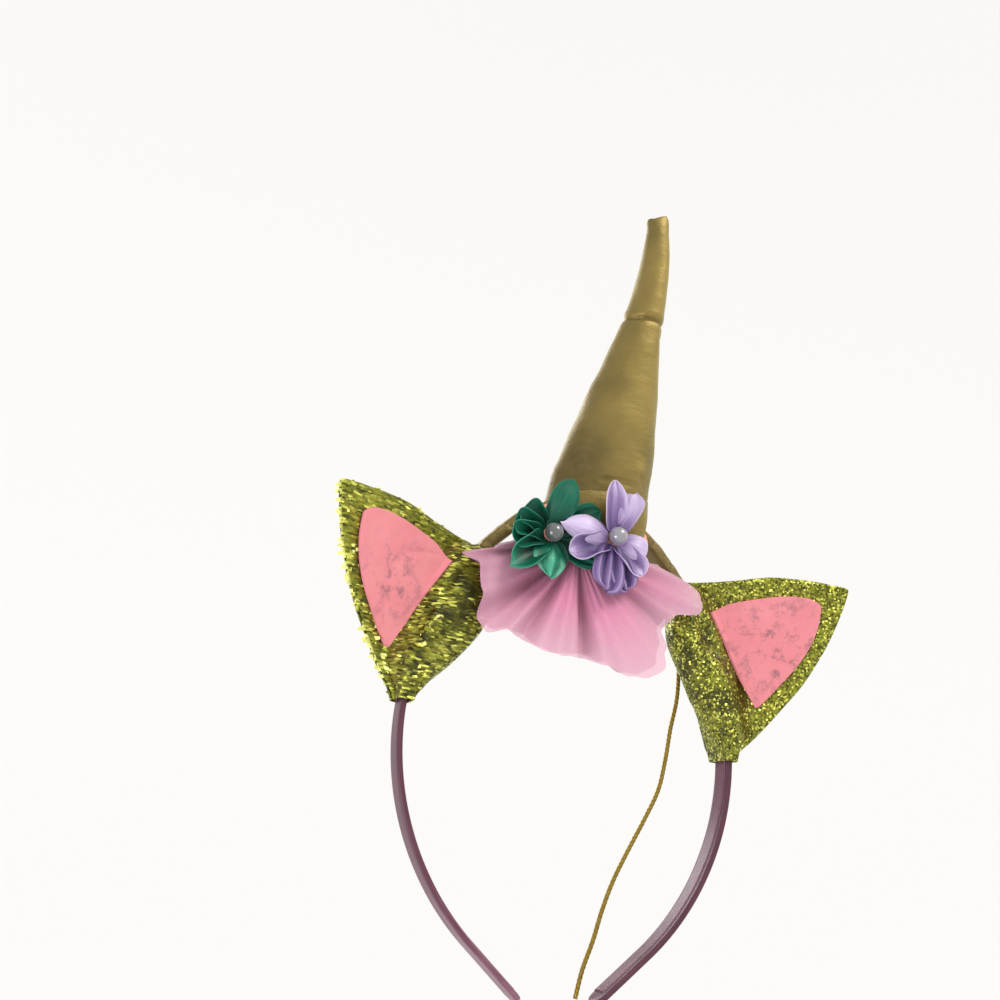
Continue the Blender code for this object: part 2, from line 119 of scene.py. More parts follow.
# Sockets of a Mix node that mixes colours, whose names repeat
FACTOR, FIRST, SECOND, MIXED = 0, 6, 7, 2


def mixed_colour(tree, share, first, second):
    """Mix two colours, each an output or a hex code."""
    first, second = (linear(colour) if isinstance(colour, str) else colour for colour in (first, second))
    made = add_node(tree, "Mix", {FACTOR: share, FIRST: first, SECOND: second}, data_type="RGBA")
    return made.outputs[MIXED]


def remapped(tree, value, low, high, to_low=0.0, to_high=1.0):
    """Stretch a value from one range to another, and hold it at the ends."""
    inputs = {"Value": value, "From Min": low, "From Max": high, "To Min": to_low, "To Max": to_high}
    return add_node(tree, "MapRange", inputs).outputs[0]


def math_result(tree, operation, first, second=0.0, **settings):
    """Work out one sum."""
    return add_node(tree, "Math", {0: first, 1: second}, operation=operation, **settings).outputs[0]


def noise_field(tree, place, size, detail, **more):
    """Noise whose lumps have a real size."""
    inputs = {"Vector": place, "Scale": 1 / size, "Detail": detail, **more}
    return add_node(tree, "TexNoise", inputs).outputs["Fac"]


def raised(tree, height, strength, depth, over=None):
    """A bump of a real depth, which may lie over another bump."""
    inputs = {"Height": height, "Strength": strength, "Distance": depth}
    if over is not None:
        inputs["Normal"] = over
    return add_node(tree, "Bump", inputs).outputs["Normal"]


def scaled(tree, place, scale):
    """A place stretched along its three directions."""
    return add_node(tree, "Mapping", {"Vector": place, "Scale": scale}).outputs["Vector"]


def object_place(tree):
    """The place on the object, in metres."""
    return add_node(tree, "TexCoord", {}).outputs["Object"]


def uv_place(tree):
    """The place on the cloth's own grid, from 0 to 1 each way."""
    return add_node(tree, "UVMap", {}, uv_map="UVMap").outputs["UV"]


def own_value(tree, name):
    """A value that the mesh holds for each point or face."""
    return add_node(tree, "Attribute", {}, attribute_name=name).outputs["Fac"]

# %% [markdown]
# ## The stage
# The object is a small thing worn on a head, so nothing stands under it in the photograph. A pale
# sweep far below and all round it, glowing softly as a light tent does, gives every view the same
# quiet ground. It is spun from a profile: flat floor, wide curve, upright wall.

# %% Stage
stage_floor = -0.55
stage_radius = 3.0
stage_curve = 0.9
stage_top = 6.0

stage_finish, tree, shader = new_material("pale_paper_sweep", Roughness=1.0)
shader.inputs["Base Color"].default_value = linear("8C8B8A")
shader.inputs["Emission Color"].default_value = linear("FFFEFC")
shader.inputs["Emission Strength"].default_value = 0.70
stage_finish.cycles.emission_sampling = "NONE"

builder = bmesh.new()
profile = [(0.0, stage_floor), (stage_radius - stage_curve, stage_floor)]
for step in range(1, 13):
    angle = math.pi / 2 * step / 12
    profile.append((stage_radius - stage_curve + stage_curve * math.sin(angle),
                    stage_floor + stage_curve * (1 - math.cos(angle))))
profile.append((stage_radius, stage_top))
spots = [builder.verts.new((x, 0, z)) for x, z in profile]
edges = [builder.edges.new(pair) for pair in zip(spots, spots[1:])]
bmesh.ops.spin(builder, geom=spots + edges, cent=(0, 0, 0), axis=(0, 0, 1), angle=2 * math.pi,
               steps=64, use_merge=True, use_duplicate=False)
bmesh.ops.remove_doubles(builder, verts=builder.verts, dist=1e-5)
bmesh.ops.recalc_face_normals(builder, faces=builder.faces)
sweep_mesh = bpy.data.meshes.new("sweep")
builder.to_mesh(sweep_mesh)
builder.free()
sweep_mesh.materials.append(stage_finish)
sweep_mesh.shade_smooth()
sweep = bpy.data.objects.new("sweep", sweep_mesh)
bpy.context.scene.collection.objects.link(sweep)
print("stage:", len(sweep_mesh.polygons), "faces")

# %% [markdown]
# ## Light
# The photograph was taken in soft daylight from above and to the right of the viewer. One large soft lamp
# stands there. A weaker one low on the left lights the satin band's lower edge, which also gets painted
# light, and a third behind lights the folds of the tulle, whose valleys also get painted shade.

# %% Lights
def soft_lamp(name, place, aim, size, power, colour):
    """A square area lamp that looks at a point."""
    data = bpy.data.lights.new(name, "AREA")
    data.size = size
    data.energy = power
    data.color = linear(colour)[:3]
    lamp = bpy.data.objects.new(name, data)
    turn = (Vector(aim) - Vector(place)).to_track_quat("-Z", "Y")
    lamp.matrix_world = Matrix.Translation(place) @ turn.to_matrix().to_4x4()
    bpy.context.scene.collection.objects.link(lamp)


middle = (0.0, 0.0, 0.0)
soft_lamp("daylight", (0.55, -0.85, 0.95), middle, 0.55, 13.0, "FFF9F0")
soft_lamp("low_fill", (-0.75, -0.35, -0.45), middle, 0.45, 5.0, "FDF4FA")
soft_lamp("back_light", (-0.35, 0.9, 0.5), middle, 0.5, 5.0, "FFFFFF")
world = bpy.data.worlds.new("tent")
world.use_nodes = True
world.node_tree.nodes["Background"].inputs["Color"].default_value = linear("FFFEFC")
world.node_tree.nodes["Background"].inputs["Strength"].default_value = 0.7
bpy.context.scene.world = world
bpy.context.scene.view_settings.view_transform = "Standard"
bpy.context.scene.cycles.max_bounces = 5
bpy.context.scene.cycles.diffuse_bounces = 3
bpy.context.scene.cycles.glossy_bounces = 3

# %% [markdown]
# ## The band's line
# The strip is bent along arcs that meet smoothly, each half the mirror of the other. Everything
# on the headband is placed by its distance along that line, so one function returns the point and
# the outward direction there, and another a place beside it.

# %% Measures of the band, in metres
BENDS = ((0.0382, math.radians(43)), (0.099, math.radians(34)), (0.079, math.radians(63)))
band_thick = 0.002
band_width = 0.008
tip_run = 0.022
wrap_inner = (0.0013, 0.0043)
wrap_outer = (0.0023, 0.0053)
crown_centre_z = wrap_outer[0] - BENDS[0][0]
band_half = sum(radius * sweep for radius, sweep in BENDS) + tip_run
CROWN = Vector((0, 0, crown_centre_z))
FRONT = Vector((0, -1, 0))


def beside_band(along, out, back):
    """A place near the band: `along` from the crown, `out` of its bend and `back` from the viewer."""
    rest, turn, centre, radius = abs(along), 0.0, CROWN.copy(), BENDS[0][0]
    for bend_radius, sweep in BENDS:
        centre += (radius - bend_radius) * Vector((math.sin(turn), 0, math.cos(turn)))
        radius = bend_radius
        step = min(rest, bend_radius * sweep)
        turn += step / bend_radius
        rest -= step
        if rest <= 0:
            break
    outward = Vector((math.sin(turn), 0, math.cos(turn)))
    place = centre + (radius + out) * outward + rest * Vector((math.cos(turn), 0, -math.sin(turn)))
    place.x = math.copysign(place.x, along)
    return place + Vector((0, back, 0))


# %% [markdown]
# ## A small kit for shapes
# Cloth is a grid that is moved into place: the operator makes the faces, and a function says where
# a point at shares (u, v) of the two sides goes. The grid's UV map keeps u and v, so a weave can
# follow the cloth wherever it bends. A grid that comes round to itself is welded there.

# %% Helpers for shapes
def moved_grid(columns, rows, place, welded=False, lit=None):
    """A grid of columns by rows faces with each point moved to place(u, v), and marked with lit(u, v)."""
    builder = bmesh.new()
    uv_layer = builder.loops.layers.uv.new("UVMap")
    lit_layer = builder.verts.layers.float.new("lit")
    bmesh.ops.create_grid(builder, x_segments=columns, y_segments=rows, size=0.5)
    for face in builder.faces:
        for loop in face.loops:
            loop[uv_layer].uv = (loop.vert.co.x + 0.5, loop.vert.co.y + 0.5)
    for vertex in builder.verts:
        u, v = (min(max(share + 0.5, 0), 1) for share in vertex.co.xy)
        vertex.co = place(u, v)
        vertex[lit_layer] = lit(u, v) if lit else 0.5
    if welded:
        bmesh.ops.remove_doubles(builder, verts=builder.verts, dist=1e-6)
    return builder


def close_ends(builder):
    """Fill the open ends of a tube and turn every face outwards."""
    rims = [edge for edge in builder.edges if edge.is_boundary]
    bmesh.ops.holes_fill(builder, edges=rims, sides=0)
    bmesh.ops.recalc_face_normals(builder, faces=builder.faces)


def add_piece(name, builder, finish, wall=0.0, side=-1.0, levels=1):
    """Make the object, with a wall and subdivision where asked, and let it ride on the root."""
    mesh = bpy.data.meshes.new(name)
    builder.to_mesh(mesh)
    builder.free()
    mesh.materials.append(finish)
    mesh.shade_smooth()
    piece = bpy.data.objects.new(name, mesh)
    bpy.context.scene.collection.objects.link(piece)
    if wall:
        cloth = piece.modifiers.new("wall", "SOLIDIFY")
        cloth.thickness = wall
        cloth.offset = side
    if levels:
        smoother = piece.modifiers.new("smooth", "SUBSURF")
        smoother.levels = smoother.render_levels = levels
    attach(piece, "root")
    print(name, "-", len(mesh.polygons), "faces before its modifiers")
    return piece


def cut_area(piece):
    """Area of a piece's own mesh, which is the cloth's flat area where it was cut to that outline."""
    return sum(face.area for face in piece.data.polygons)


def read_table(table, share, column):
    """Read a table's column at a share of its first column: smooth, but sharp at a peak."""
    rows = len(table) - 1
    i = next((k for k in range(rows) if share <= table[k + 1][0]), rows - 1)

    def slope(k):
        return (table[k + 1][column] - table[k][column]) / (table[k + 1][0] - table[k][0])

    span = table[i + 1][0] - table[i][0]
    own = slope(i)
    before = slope(i - 1) if i > 0 else own
    after = slope(i + 1) if i < rows - 1 else own
    start = (own + before) / 2 if own * before > 0 else own
    end = (own + after) / 2 if own * after > 0 else own
    t = min(max((share - table[i][0]) / span, 0), 1)
    return ((2 * t ** 3 - 3 * t ** 2 + 1) * table[i][column] + (t ** 3 - 2 * t ** 2 + t) * span * start
            + (3 * t ** 2 - 2 * t ** 3) * table[i + 1][column] + (t ** 3 - t ** 2) * span * end)


def bump_at(value, centre, width):
    """A smooth hump of height 1 at a centre."""
    return math.exp(-((value - centre) / width) ** 2)


def curve_between(a, b, c, d, t):
    """A value at share t of the way from b to c, on a smooth curve through all four."""
    squared, cubed = 2 * a - 5 * b + 4 * c - d, 3 * b - a - 3 * c + d
    return 0.5 * (2 * b + (c - a) * t + squared * t ** 2 + cubed * t ** 3)


def smooth_path(points, count):
    """Evenly spaced points on a smooth curve through the given ones."""
    route = [Vector(p) for p in points]
    ends = [2 * route[0] - route[1]] + route + [2 * route[-1] - route[-2]]
    fine = []
    for four in zip(ends, ends[1:], ends[2:], ends[3:]):
        fine += [curve_between(*four, i / 24) for i in range(24)]
    fine.append(route[-1])
    lengths = [0.0]
    for p, q in zip(fine, fine[1:]):
        lengths.append(lengths[-1] + (q - p).length)
    even, k = [], 0
    for i in range(count + 1):
        target = lengths[-1] * i / count
        while k < len(fine) - 2 and lengths[k + 1] < target:
            k += 1
        even.append(fine[k].lerp(fine[k + 1], (target - lengths[k]) / (lengths[k + 1] - lengths[k])))
    return even, lengths[-1]


# %% [markdown]
# ## Gold cord
# A thin metallic cord leaves the horn's right foot, passes over the shoulder of the crown and hangs
# behind the ear down to the picture's edge, where it ends in a plain cut. Such cord is three
# strands twisted together, so it is modelled as a tube whose section has three lobes that turn as
# it goes: the twist is then real shape and catches the light from any side.

# %% Cord
CORD_ROUTE = (
    (0.0262, -0.0010, -0.0034), (0.0304, -0.0002, -0.0072), (0.0345, 0.0026, -0.0118),
    (0.0382, 0.0072, -0.0172), (0.0412, 0.0084, -0.0260), (0.0434, 0.0082, -0.0400),
    (0.0430, 0.0076, -0.0541), (0.0406, 0.0076, -0.0662), (0.0390, 0.0076, -0.0764),
    (0.0366, 0.0076, -0.0865), (0.0317, 0.0076, -0.0964), (0.0263, 0.0076, -0.1062),
    (0.0214, 0.0076, -0.1157), (0.0179, 0.0076, -0.1248), (0.0153, 0.0076, -0.1335),
    (0.0121, 0.0076, -0.1422), (0.0102, 0.0076, -0.1502),
)
cord_thick = 0.0015
cord_strands = 3
cord_pitch = 0.0046
cord_rings = 620
cord_line, cord_length = smooth_path(CORD_ROUTE, cord_rings)

# Metallised yarn, spun and twisted: dark between the strands, bright where they cross the light
cord_finish, tree, shader = new_material("twisted_metallised_yarn", Metallic=0.75, Roughness=0.36)
fibres = noise_field(tree, object_place(tree), 0.0009, 3.0)
tree.links.new(mixed_colour(tree, fibres, "5C4A16", "A88E3A"), shader.inputs["Base Color"])
tree.links.new(raised(tree, fibres, 0.35, 0.0001), shader.inputs["Normal"])


def cord_place(u, v):
    """A point of the twisted cord: u runs along it and v round it."""
    k = min(round(u * cord_rings), cord_rings - 1)
    ahead = (cord_line[k + 1] - cord_line[k]).normalized()
    centre = cord_line[min(round(u * cord_rings), cord_rings)]
    across = ahead.cross(Vector((0, 1, 0))).normalized()
    over = across.cross(ahead)
    turn = 2 * math.pi * v
    twist = 2 * math.pi * u * cord_length / cord_pitch
    lobe = abs(math.cos(cord_strands / 2 * (turn - twist)))
    radius = cord_thick / 2 * (0.74 + 0.26 * lobe ** 0.7)
    return centre + (across * math.cos(turn) + over * math.sin(turn)) * radius


builder = moved_grid(cord_rings, 18, cord_place, welded=True)
close_ends(builder)
gold_cord = add_piece("cord_of_gold_yarn", builder, cord_finish, levels=0)
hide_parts("gold_cord")
print("cord length in mm:", round(cord_length * 1000, 1))

# %% [markdown]
# ## Satin
# Satin ribbon is polyester woven so that long threads float on its face: it is smooth, shines along the
# threads and shows soft streaks, which are painted into its colour as sheen and pressed in as a slight bump.
# The band and both flowers use it. Its threads lie about 0.1 mm apart, too fine for the picture, so the bump
# draws them at 0.4 mm. Its colour is painted with each piece's `lit` light and shade. Heat-cut edges are
# painted lighter, as a painted highlight that grows with that painted light, and the UV map says where an
# edge is.

# %% Satin finish
# How far apart the bands of a wave texture lie at scale 1
wave_spacing = 0.314


def woven_satin(name, deep, main, pale, rim, length, width, streak=0.0016, roughness=0.34):
    """Ribbon satin of a real length and width: its colour is painted with the piece's `lit` light and shade,
    and its rim gets a painted highlight.
    """
    made, tree, shader = new_material(name, Roughness=roughness, Sheen_Weight=0.10, Sheen_Roughness=0.35,
                                      Anisotropic=0.35, Specular_IOR_Level=0.3)
    shader.inputs["Sheen Tint"].default_value = linear(pale)
    uv = uv_place(tree)
    own = own_value(tree, "lit")
    sized = scaled(tree, uv, (length, width, 1.0))
    streaks = noise_field(tree, scaled(tree, sized, (0.12, 1.0, 1.0)), streak, 3.0)
    # The streaks are painted sheen: they shift the painted light along the ribbon.
    light = math_result(tree, "ADD", own, remapped(tree, streaks, 0.3, 0.7, -0.12, 0.12))
    shaded = mixed_colour(tree, remapped(tree, light, 0.0, 0.5), deep, main)
    body = mixed_colour(tree, remapped(tree, light, 0.55, 1.05), shaded, pale)
    across = add_node(tree, "SeparateXYZ", {"Vector": uv}).outputs["Y"]
    off = math_result(tree, "ABSOLUTE", math_result(tree, "SUBTRACT", across, 0.5))
    # The rim gets a painted highlight, as strong as the painted light there.
    cut = math_result(tree, "MULTIPLY", remapped(tree, off, 0.44, 0.5, to_high=rim), own)
    tree.links.new(mixed_colour(tree, cut, body, pale), shader.inputs["Base Color"])
    threads = add_node(tree, "TexWave", {"Vector": sized, "Scale": wave_spacing / 0.0004, "Distortion": 1.2,
                                         "Detail": 1.0}, bands_direction="Y").outputs["Fac"]
    weave = raised(tree, threads, 0.10, 0.0001)
    tree.links.new(raised(tree, streaks, 0.25, 0.0002, over=weave), shader.inputs["Normal"])
    return made


band_satin = woven_satin("mauve_polyester_satin", "2C1B23", "583341", "A87A8E", 0.0, 2 * band_half, 0.02)
# The lap's ribbon gets a strong painted highlight along its edges, and both get the band's painted light.
flap_satin = woven_satin("mauve_satin_ribbon", "33202A", "623B4A", "CBA0B1", 0.9, 2 * band_half, 0.006)

# %% [markdown]
# ## Band
# The strip is sprung plastic with satin ribbon glued round it. The ribbon's long edge lies on the inside,
# and its fine pale line along the right leg is a painted highlight on the lap's edges. The strip is a tube
# whose section is a rectangle with soft corners, made as a superellipse, and the ribbon's last lap is a
# strip of its own, one thread higher, because its edge is then a real step.

# %% Band
soft_corner = 0.42
ribbon_wall = 0.00018


def soft_section(v, half_out, half_back):
    """Point of a rectangle with soft corners at share v of the way round."""
    out, back = math.cos(2 * math.pi * v), math.sin(2 * math.pi * v)
    return (half_out * math.copysign(abs(out) ** soft_corner, out),
            half_back * math.copysign(abs(back) ** soft_corner, back))


def tip_narrowing(along):
    """How much narrower the strip is near its rounded tips."""
    left = min((band_half - abs(along)) / (band_width / 2), 1)
    return 0.3 + 0.7 * math.sqrt(max(1 - (1 - left) ** 2, 0))


def band_place(u, v):
    """A point of the band's skin."""
    along = band_half * (2 * u - 1)
    out, back = soft_section(v, band_thick / 2, band_width / 2)
    return beside_band(along, out, back * tip_narrowing(along))


def flap_place(u, v):
    """A point of the ribbon's last lap on the inside of the band."""
    along = (band_half - band_width / 2) * (2 * u - 1)
    wander = 0.00012 * noise.noise(Vector((along / 0.012, 0, 0)))
    return beside_band(along, -band_thick / 2 - ribbon_wall / 2, -0.0023 + wander + 0.0056 * v)


def band_painted_light(u, v):
    """Painted light on the satin: painted shade on top and a little low on the right, a painted highlight
    low on the left.
    """
    return 0.42 + 0.26 * bump_at(u, 0.02, 0.10) - 0.10 * bump_at(u, 0.5, 0.3) - 0.05 * bump_at(u, 0.9, 0.15)


builder = moved_grid(300, 36, band_place, welded=True, lit=band_painted_light)
close_ends(builder)
band = add_piece("satin_wound_band", builder, band_satin, levels=0)
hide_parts("band")
builder = moved_grid(300, 8, flap_place, lit=band_painted_light)
add_piece("band_ribbon_lap", builder, flap_satin, wall=ribbon_wall, side=0.0, levels=0)

# %% [markdown]
# ## Gold lame
# Lame is a thin knit with a metallised face. It is less shiny than foil: the small loops scatter the light,
# so it looks like dull brass with a soft glow. Its colour is painted darker where the crumpling dents it, as
# painted shade, and follows the piece's painted light. The loops are 0.3 mm and are drawn at 0.6 mm, and a
# slower pattern gives the crumpling.

# %% Lame finish
def knitted_lame(name, deep, main, crumple):
    """Metallised knit whose relief wanders with the crumpling; its colour is painted with the piece's `lit`
    light and shade and with painted shade in the crumpling's dents.
    """
    made, tree, shader = new_material(name, Metallic=0.55, Roughness=0.5,
                                      Sheen_Weight=0.25, Sheen_Roughness=0.4)
    shader.inputs["Sheen Tint"].default_value = linear("E8DCA0")
    place = object_place(tree)
    clouds = noise_field(tree, place, crumple, 5.0, Roughness=0.55)
    # Painted shade in the dents of the crumpling.
    painted_dent_shade = remapped(tree, clouds, 0.3, 0.7, -0.18, 0.18)
    light = math_result(tree, "ADD", own_value(tree, "lit"), painted_dent_shade, use_clamp=True)
    tree.links.new(mixed_colour(tree, light, deep, main), shader.inputs["Base Color"])
    loops = add_node(tree, "TexVoronoi", {"Vector": place, "Scale": 1 / 0.0006}).outputs["Distance"]
    wrinkles = noise_field(tree, scaled(tree, place, (0.35, 0.35, 1.6)), 0.0035, 4.0)
    knit = raised(tree, loops, 0.18, 0.0002)
    fine = raised(tree, wrinkles, 0.35, 0.0006, over=knit)
    tree.links.new(raised(tree, clouds, 0.4, 0.0012, over=fine), shader.inputs["Normal"])
    return made


horn_lame = knitted_lame("gold_lame_knit", "564A24", "9A8646", 0.016)
wrap_lame = knitted_lame("gold_lame_winding", "4A3D1E", "7F6C39", 0.006)

# %% [markdown]
# ## Crown winding
# Between the ears the band is covered once more, with a strip of the horn's lame. It is a sleeve
# round the strip, pulled tight but not smooth, so its skin wanders a little. It is mostly hidden
# by the ruffle and shows from above and behind.

# %% Crown winding
wrap_ends = (-0.0450, 0.0435)


def winding_place(u, v):
    """A point of the lame sleeve round the crown."""
    along = wrap_ends[0] + (wrap_ends[1] - wrap_ends[0]) * u
    out, back = soft_section(v, *wrap_outer)
    lap = (u * 9 + v) % 1.0
    puff = 0.00022 * noise.noise(Vector((along / 0.004, 4 * v, 1.7))) - 0.00025 * bump_at(lap, 0.0, 0.10)
    return beside_band(along, out * (1 + puff / wrap_outer[0]), back * (1 + puff / wrap_outer[1]))


builder = moved_grid(150, 32, winding_place, welded=True)
bmesh.ops.recalc_face_normals(builder, faces=builder.faces)
winding = add_piece("lame_crown_winding", builder, wrap_lame, wall=0.0006)
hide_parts("crown_wrap")

# %% [markdown]
# ## Horn
# The horn is a cone of lame sewn up at the back and stuffed, and it has been bent over once, which
# left a crease two thirds of the way up. Padded cloth is best found by simulation: a copy of the
# solid is remeshed, blown up a little as cloth under pressure, and its moves are capped. It is
# simulated at ten times its size, where the cloth solver is steady. The crease's height and bow are
# shares of the horn's length, and the horn's middle line drifts to the right as it rises.

# %% Horn, simulated
horn_length = 0.1055
horn_half_width = 0.0190
horn_half_depth = 0.0122
horn_lean = math.radians(18.6)
horn_foot = Vector((0.005, 0, 0.0049))
horn_axis = Vector((0, -math.sin(horn_lean), math.cos(horn_lean)))
horn_back = Vector((0, math.cos(horn_lean), math.sin(horn_lean)))
horn_drift = 0.0038
crease_height = 0.617
crease_bow = 0.016
wrinkle_pitch = 0.0017
stitch_pitch = 0.004
sim_scale = 10
sim_shrink = 0.0006
sim_cap = 0.0009
voxel = 0.0013

builder = bmesh.new()
builder.from_mesh(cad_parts["horn"].data)
bmesh.ops.remove_doubles(builder, verts=builder.verts, dist=1e-6)
bmesh.ops.recalc_face_normals(builder, faces=builder.faces)
builder.normal_update()
for vertex in builder.verts:
    vertex.co -= vertex.normal * sim_shrink
bmesh.ops.scale(builder, vec=(sim_scale,) * 3, verts=builder.verts)
horn_mesh = bpy.data.meshes.new("stuffed_horn")
builder.to_mesh(horn_mesh)
builder.free()
horn = bpy.data.objects.new("stuffed_horn", horn_mesh)
bpy.context.scene.collection.objects.link(horn)
with bpy.context.temp_override(object=horn, active_object=horn, selected_objects=[horn]):
    horn_mesh.remesh_voxel_size = voxel * sim_scale
    horn_mesh.use_remesh_fix_poles = False
    bpy.ops.object.voxel_remesh()
horn_mesh = horn.data
print("horn remeshed to", len(horn_mesh.vertices), "points")


def horn_height(place):
    """Share of the horn's height at a place, in real metres."""
    return (place - horn_foot).dot(horn_axis) / horn_length


def blow_up(piece, mesh, pressure, held_below):
    """Inflate a mesh as cloth under pressure, its foot held, and cap how far a point moves."""
    rest = [v.co.copy() for v in mesh.vertices]
    held = piece.vertex_groups.new(name="held")
    held.add([v.index for v in mesh.vertices if horn_height(v.co / sim_scale) < held_below], 1.0, "REPLACE")
    cloth = piece.modifiers.new("cloth", "CLOTH")
    cloth.settings.quality = 5
    cloth.settings.use_pressure = True
    cloth.settings.uniform_pressure_force = pressure
    cloth.settings.vertex_group_mass = "held"
    cloth.settings.effector_weights.gravity = 0
    cloth.point_cache.frame_end = 20
    for step in range(1, 21):
        bpy.context.scene.frame_set(step)
    shown = piece.evaluated_get(bpy.context.evaluated_depsgraph_get())
    blown = [v.co.copy() for v in shown.data.vertices]
    piece.modifiers.clear()
    piece.vertex_groups.clear()
    for vertex, before, after in zip(mesh.vertices, rest, blown):
        move = after - before
        if move.length > sim_cap * sim_scale:
            move *= sim_cap * sim_scale / move.length
        vertex.co = before + move
    bpy.context.scene.frame_set(1)


blow_up(horn, horn_mesh, 4.0, 0.07)

# %% [markdown]
# The simulated skin is brought back to size and subdivided once. Then the marks of use are pressed
# into it: the crease with its two bulges, a smaller one below it on the right, soft dents, the
# lumps of the stuffing, short wrinkles low on the right, and the sunk seam at the back.

# %% Horn, creased
builder = bmesh.new()
builder.from_mesh(horn_mesh)
bmesh.ops.scale(builder, vec=(1 / sim_scale,) * 3, verts=builder.verts)
bmesh.ops.smooth_vert(builder, verts=builder.verts, factor=0.5, use_axis_x=True, use_axis_y=True,
                      use_axis_z=True)
bmesh.ops.subdivide_edges(builder, edges=builder.edges, cuts=1, use_grid_fill=True, smooth=0.6)
bmesh.ops.recalc_face_normals(builder, faces=builder.faces)
builder.normal_update()


def on_horn(place):
    """Where a place is on the horn: shares of its height and half width, way to the back, half width."""
    height = horn_height(place)
    away = place - horn_foot - horn_axis * (height * horn_length)
    width = max(horn_half_width * (1.0 - 0.75 * height), 0.003)
    return height, (away.x - horn_drift * min(height / 0.7, 1)) / width, away.dot(horn_back), width


def horn_relief(place):
    """How far the skin stands out at a place on the horn."""
    height, side, rear, width = on_horn(place)
    turn = math.atan2(rear / 0.64, side * width)
    right = 0.5 + 0.5 * math.cos(turn)
    faced = max(1 - side ** 2, 0)
    crease = height - crease_height - crease_bow * faced
    depth = -0.0007 * bump_at(crease, 0, 0.006) * (0.25 + faced)
    depth += 0.0004 * bump_at(height, 0.625, 0.012) * (1 - faced)
    depth += 0.0003 * bump_at(crease, 0.02, 0.014) * faced + 0.0003 * bump_at(crease, -0.02, 0.014) * faced
    depth -= 0.0004 * bump_at(height + 0.03 * side, 0.600, 0.005) * right ** 3
    depth -= 0.0006 * bump_at(height, 0.46, 0.05) * bump_at(side, -0.35, 0.3)
    depth += 0.0004 * noise.noise(place / 0.011)
    low = bump_at(height, 0.20, 0.12) * bump_at(side, 0.45, 0.35)
    turns = height * horn_length / wrinkle_pitch + 0.8 * noise.noise(place / 0.004)
    depth += 0.00013 * low * math.sin(2 * math.pi * turns)
    if rear > 0:
        pucker = 1 + 0.35 * math.sin(2 * math.pi * height * horn_length / stitch_pitch)
        depth -= 0.0008 * pucker * bump_at(side * width, 0, 0.0009)
    return depth * min(max((1.0 - height) / 0.03, 0.2), 1) * min(max((height - 0.02) / 0.04, 0), 1)


def horn_painted_light(place):
    """Painted light on the lame: painted shade on the left, low down and in the crease, and painted
    highlights right of middle, near the top and in a small spot low on the right.
    """
    height, side, rear, width = on_horn(place)
    light = 0.62 + 0.16 * bump_at(side, 0.25, 0.5) - 0.30 * bump_at(side, -1.0, 0.75)
    light += 0.10 * bump_at(height, 0.80, 0.15) - 0.22 * bump_at(height, 0.10, 0.16)
    light -= 0.30 * bump_at(height - crease_height - crease_bow * max(1 - side ** 2, 0), 0, 0.006)
    light += 0.35 * bump_at(height, 0.155, 0.018) * bump_at(side, 0.42, 0.14)
    return light


def blunt_tip(place):
    """Widen the horn's last stretch and slant it, as its sewn end is."""
    height = horn_height(place)
    late = min(max((height - 0.93) / 0.07, 0), 1)
    middle = horn_foot.x + horn_half_width * 0.13
    wide = middle + (place.x - middle) * (1 + 0.40 * late ** 1.5)
    slant = 0.0022 * min(max((wide - middle) / 0.0035, -1), 1) * late
    return Vector((wide, place.y, place.z)) + horn_axis * slant


# Each point also gets its painted light: painted shade on the left, low down and in the crease, and painted
# highlights on the right and near the top.
lit_layer = builder.verts.layers.float.new("lit")
for vertex, normal in [(v, v.normal.copy()) for v in builder.verts]:
    vertex[lit_layer] = horn_painted_light(vertex.co)
    vertex.co = blunt_tip(vertex.co + normal * horn_relief(vertex.co))
builder.to_mesh(horn_mesh)
builder.free()
horn_mesh.materials.clear()
horn_mesh.materials.append(horn_lame)
horn_mesh.shade_smooth()
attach(horn, "root")
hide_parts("horn")
print("horn:", len(horn_mesh.polygons), "faces")

# %% [markdown]
# ## Horn hem
# The cloth of the horn doesn't stop at its foot. Its front edge is turned down over the felt strip
# and glued there, behind the flowers, which closes the underside of the horn. It is one grid, from
# the front half of the horn's foot down to the felt.

# %% Horn hem
hem_drop = 0.0115


def hem_place(u, v):
    """A point of the turned-down hem: u across the horn's front and v down from its foot."""
    turn = math.pi * (1.04 + 0.92 * u)
    top = (horn_foot + horn_axis * (horn_length * 0.05)
           + Vector((horn_half_width * 0.92 * math.cos(turn), 0, 0))
           + horn_back * (horn_half_depth * 0.91 * math.sin(turn)))
    drop = hem_drop * math.sin(math.pi * (0.08 + 0.84 * u)) ** 0.5
    foot_x = horn_foot.x + horn_half_width * 0.90 * math.cos(turn)
    radius = BENDS[0][0] + band_thick / 2 - drop
    angle = math.asin(foot_x / (BENDS[0][0] + band_thick / 2))
    low = CROWN + Vector((math.sin(angle) * radius, -0.0076, math.cos(angle) * radius))
    place = top.lerp(low, v)
    belly = 0.0016 * math.sin(math.pi * v) + 0.0004 * noise.noise(Vector((u * 14, v * 2, 5.0))) * v
    return place + FRONT * belly


# The hem's colour gets painted shade under the horn, a little less toward its right.
builder = moved_grid(64, 18, hem_place, lit=lambda u, v: 0.35 + 0.2 * u)
horn_hem = add_piece("lame_horn_hem", builder, horn_lame, wall=0.0004, side=0.0)
print("hem cloth in square cm:", round(cut_area(horn_hem) * 10000, 1))

# %% [markdown]
# ## Glitter fabric
# Glitter fabric is a cloth with flakes of metallised film glued on. Two things are needed: a ground where
# small flakes lie close together, and larger flakes that stand at their own tilt and flash. The ground is a
# cell pattern that gives each flake its own colour and tilt, with painted glints on its brightest cells and
# painted shade in and under the ear's fold. The flashing flakes are real six-sided chips laid on the cloth,
# each with one painted brightness, from dull to a painted glint.

# %% Glitter finishes
fold_place = 0.245


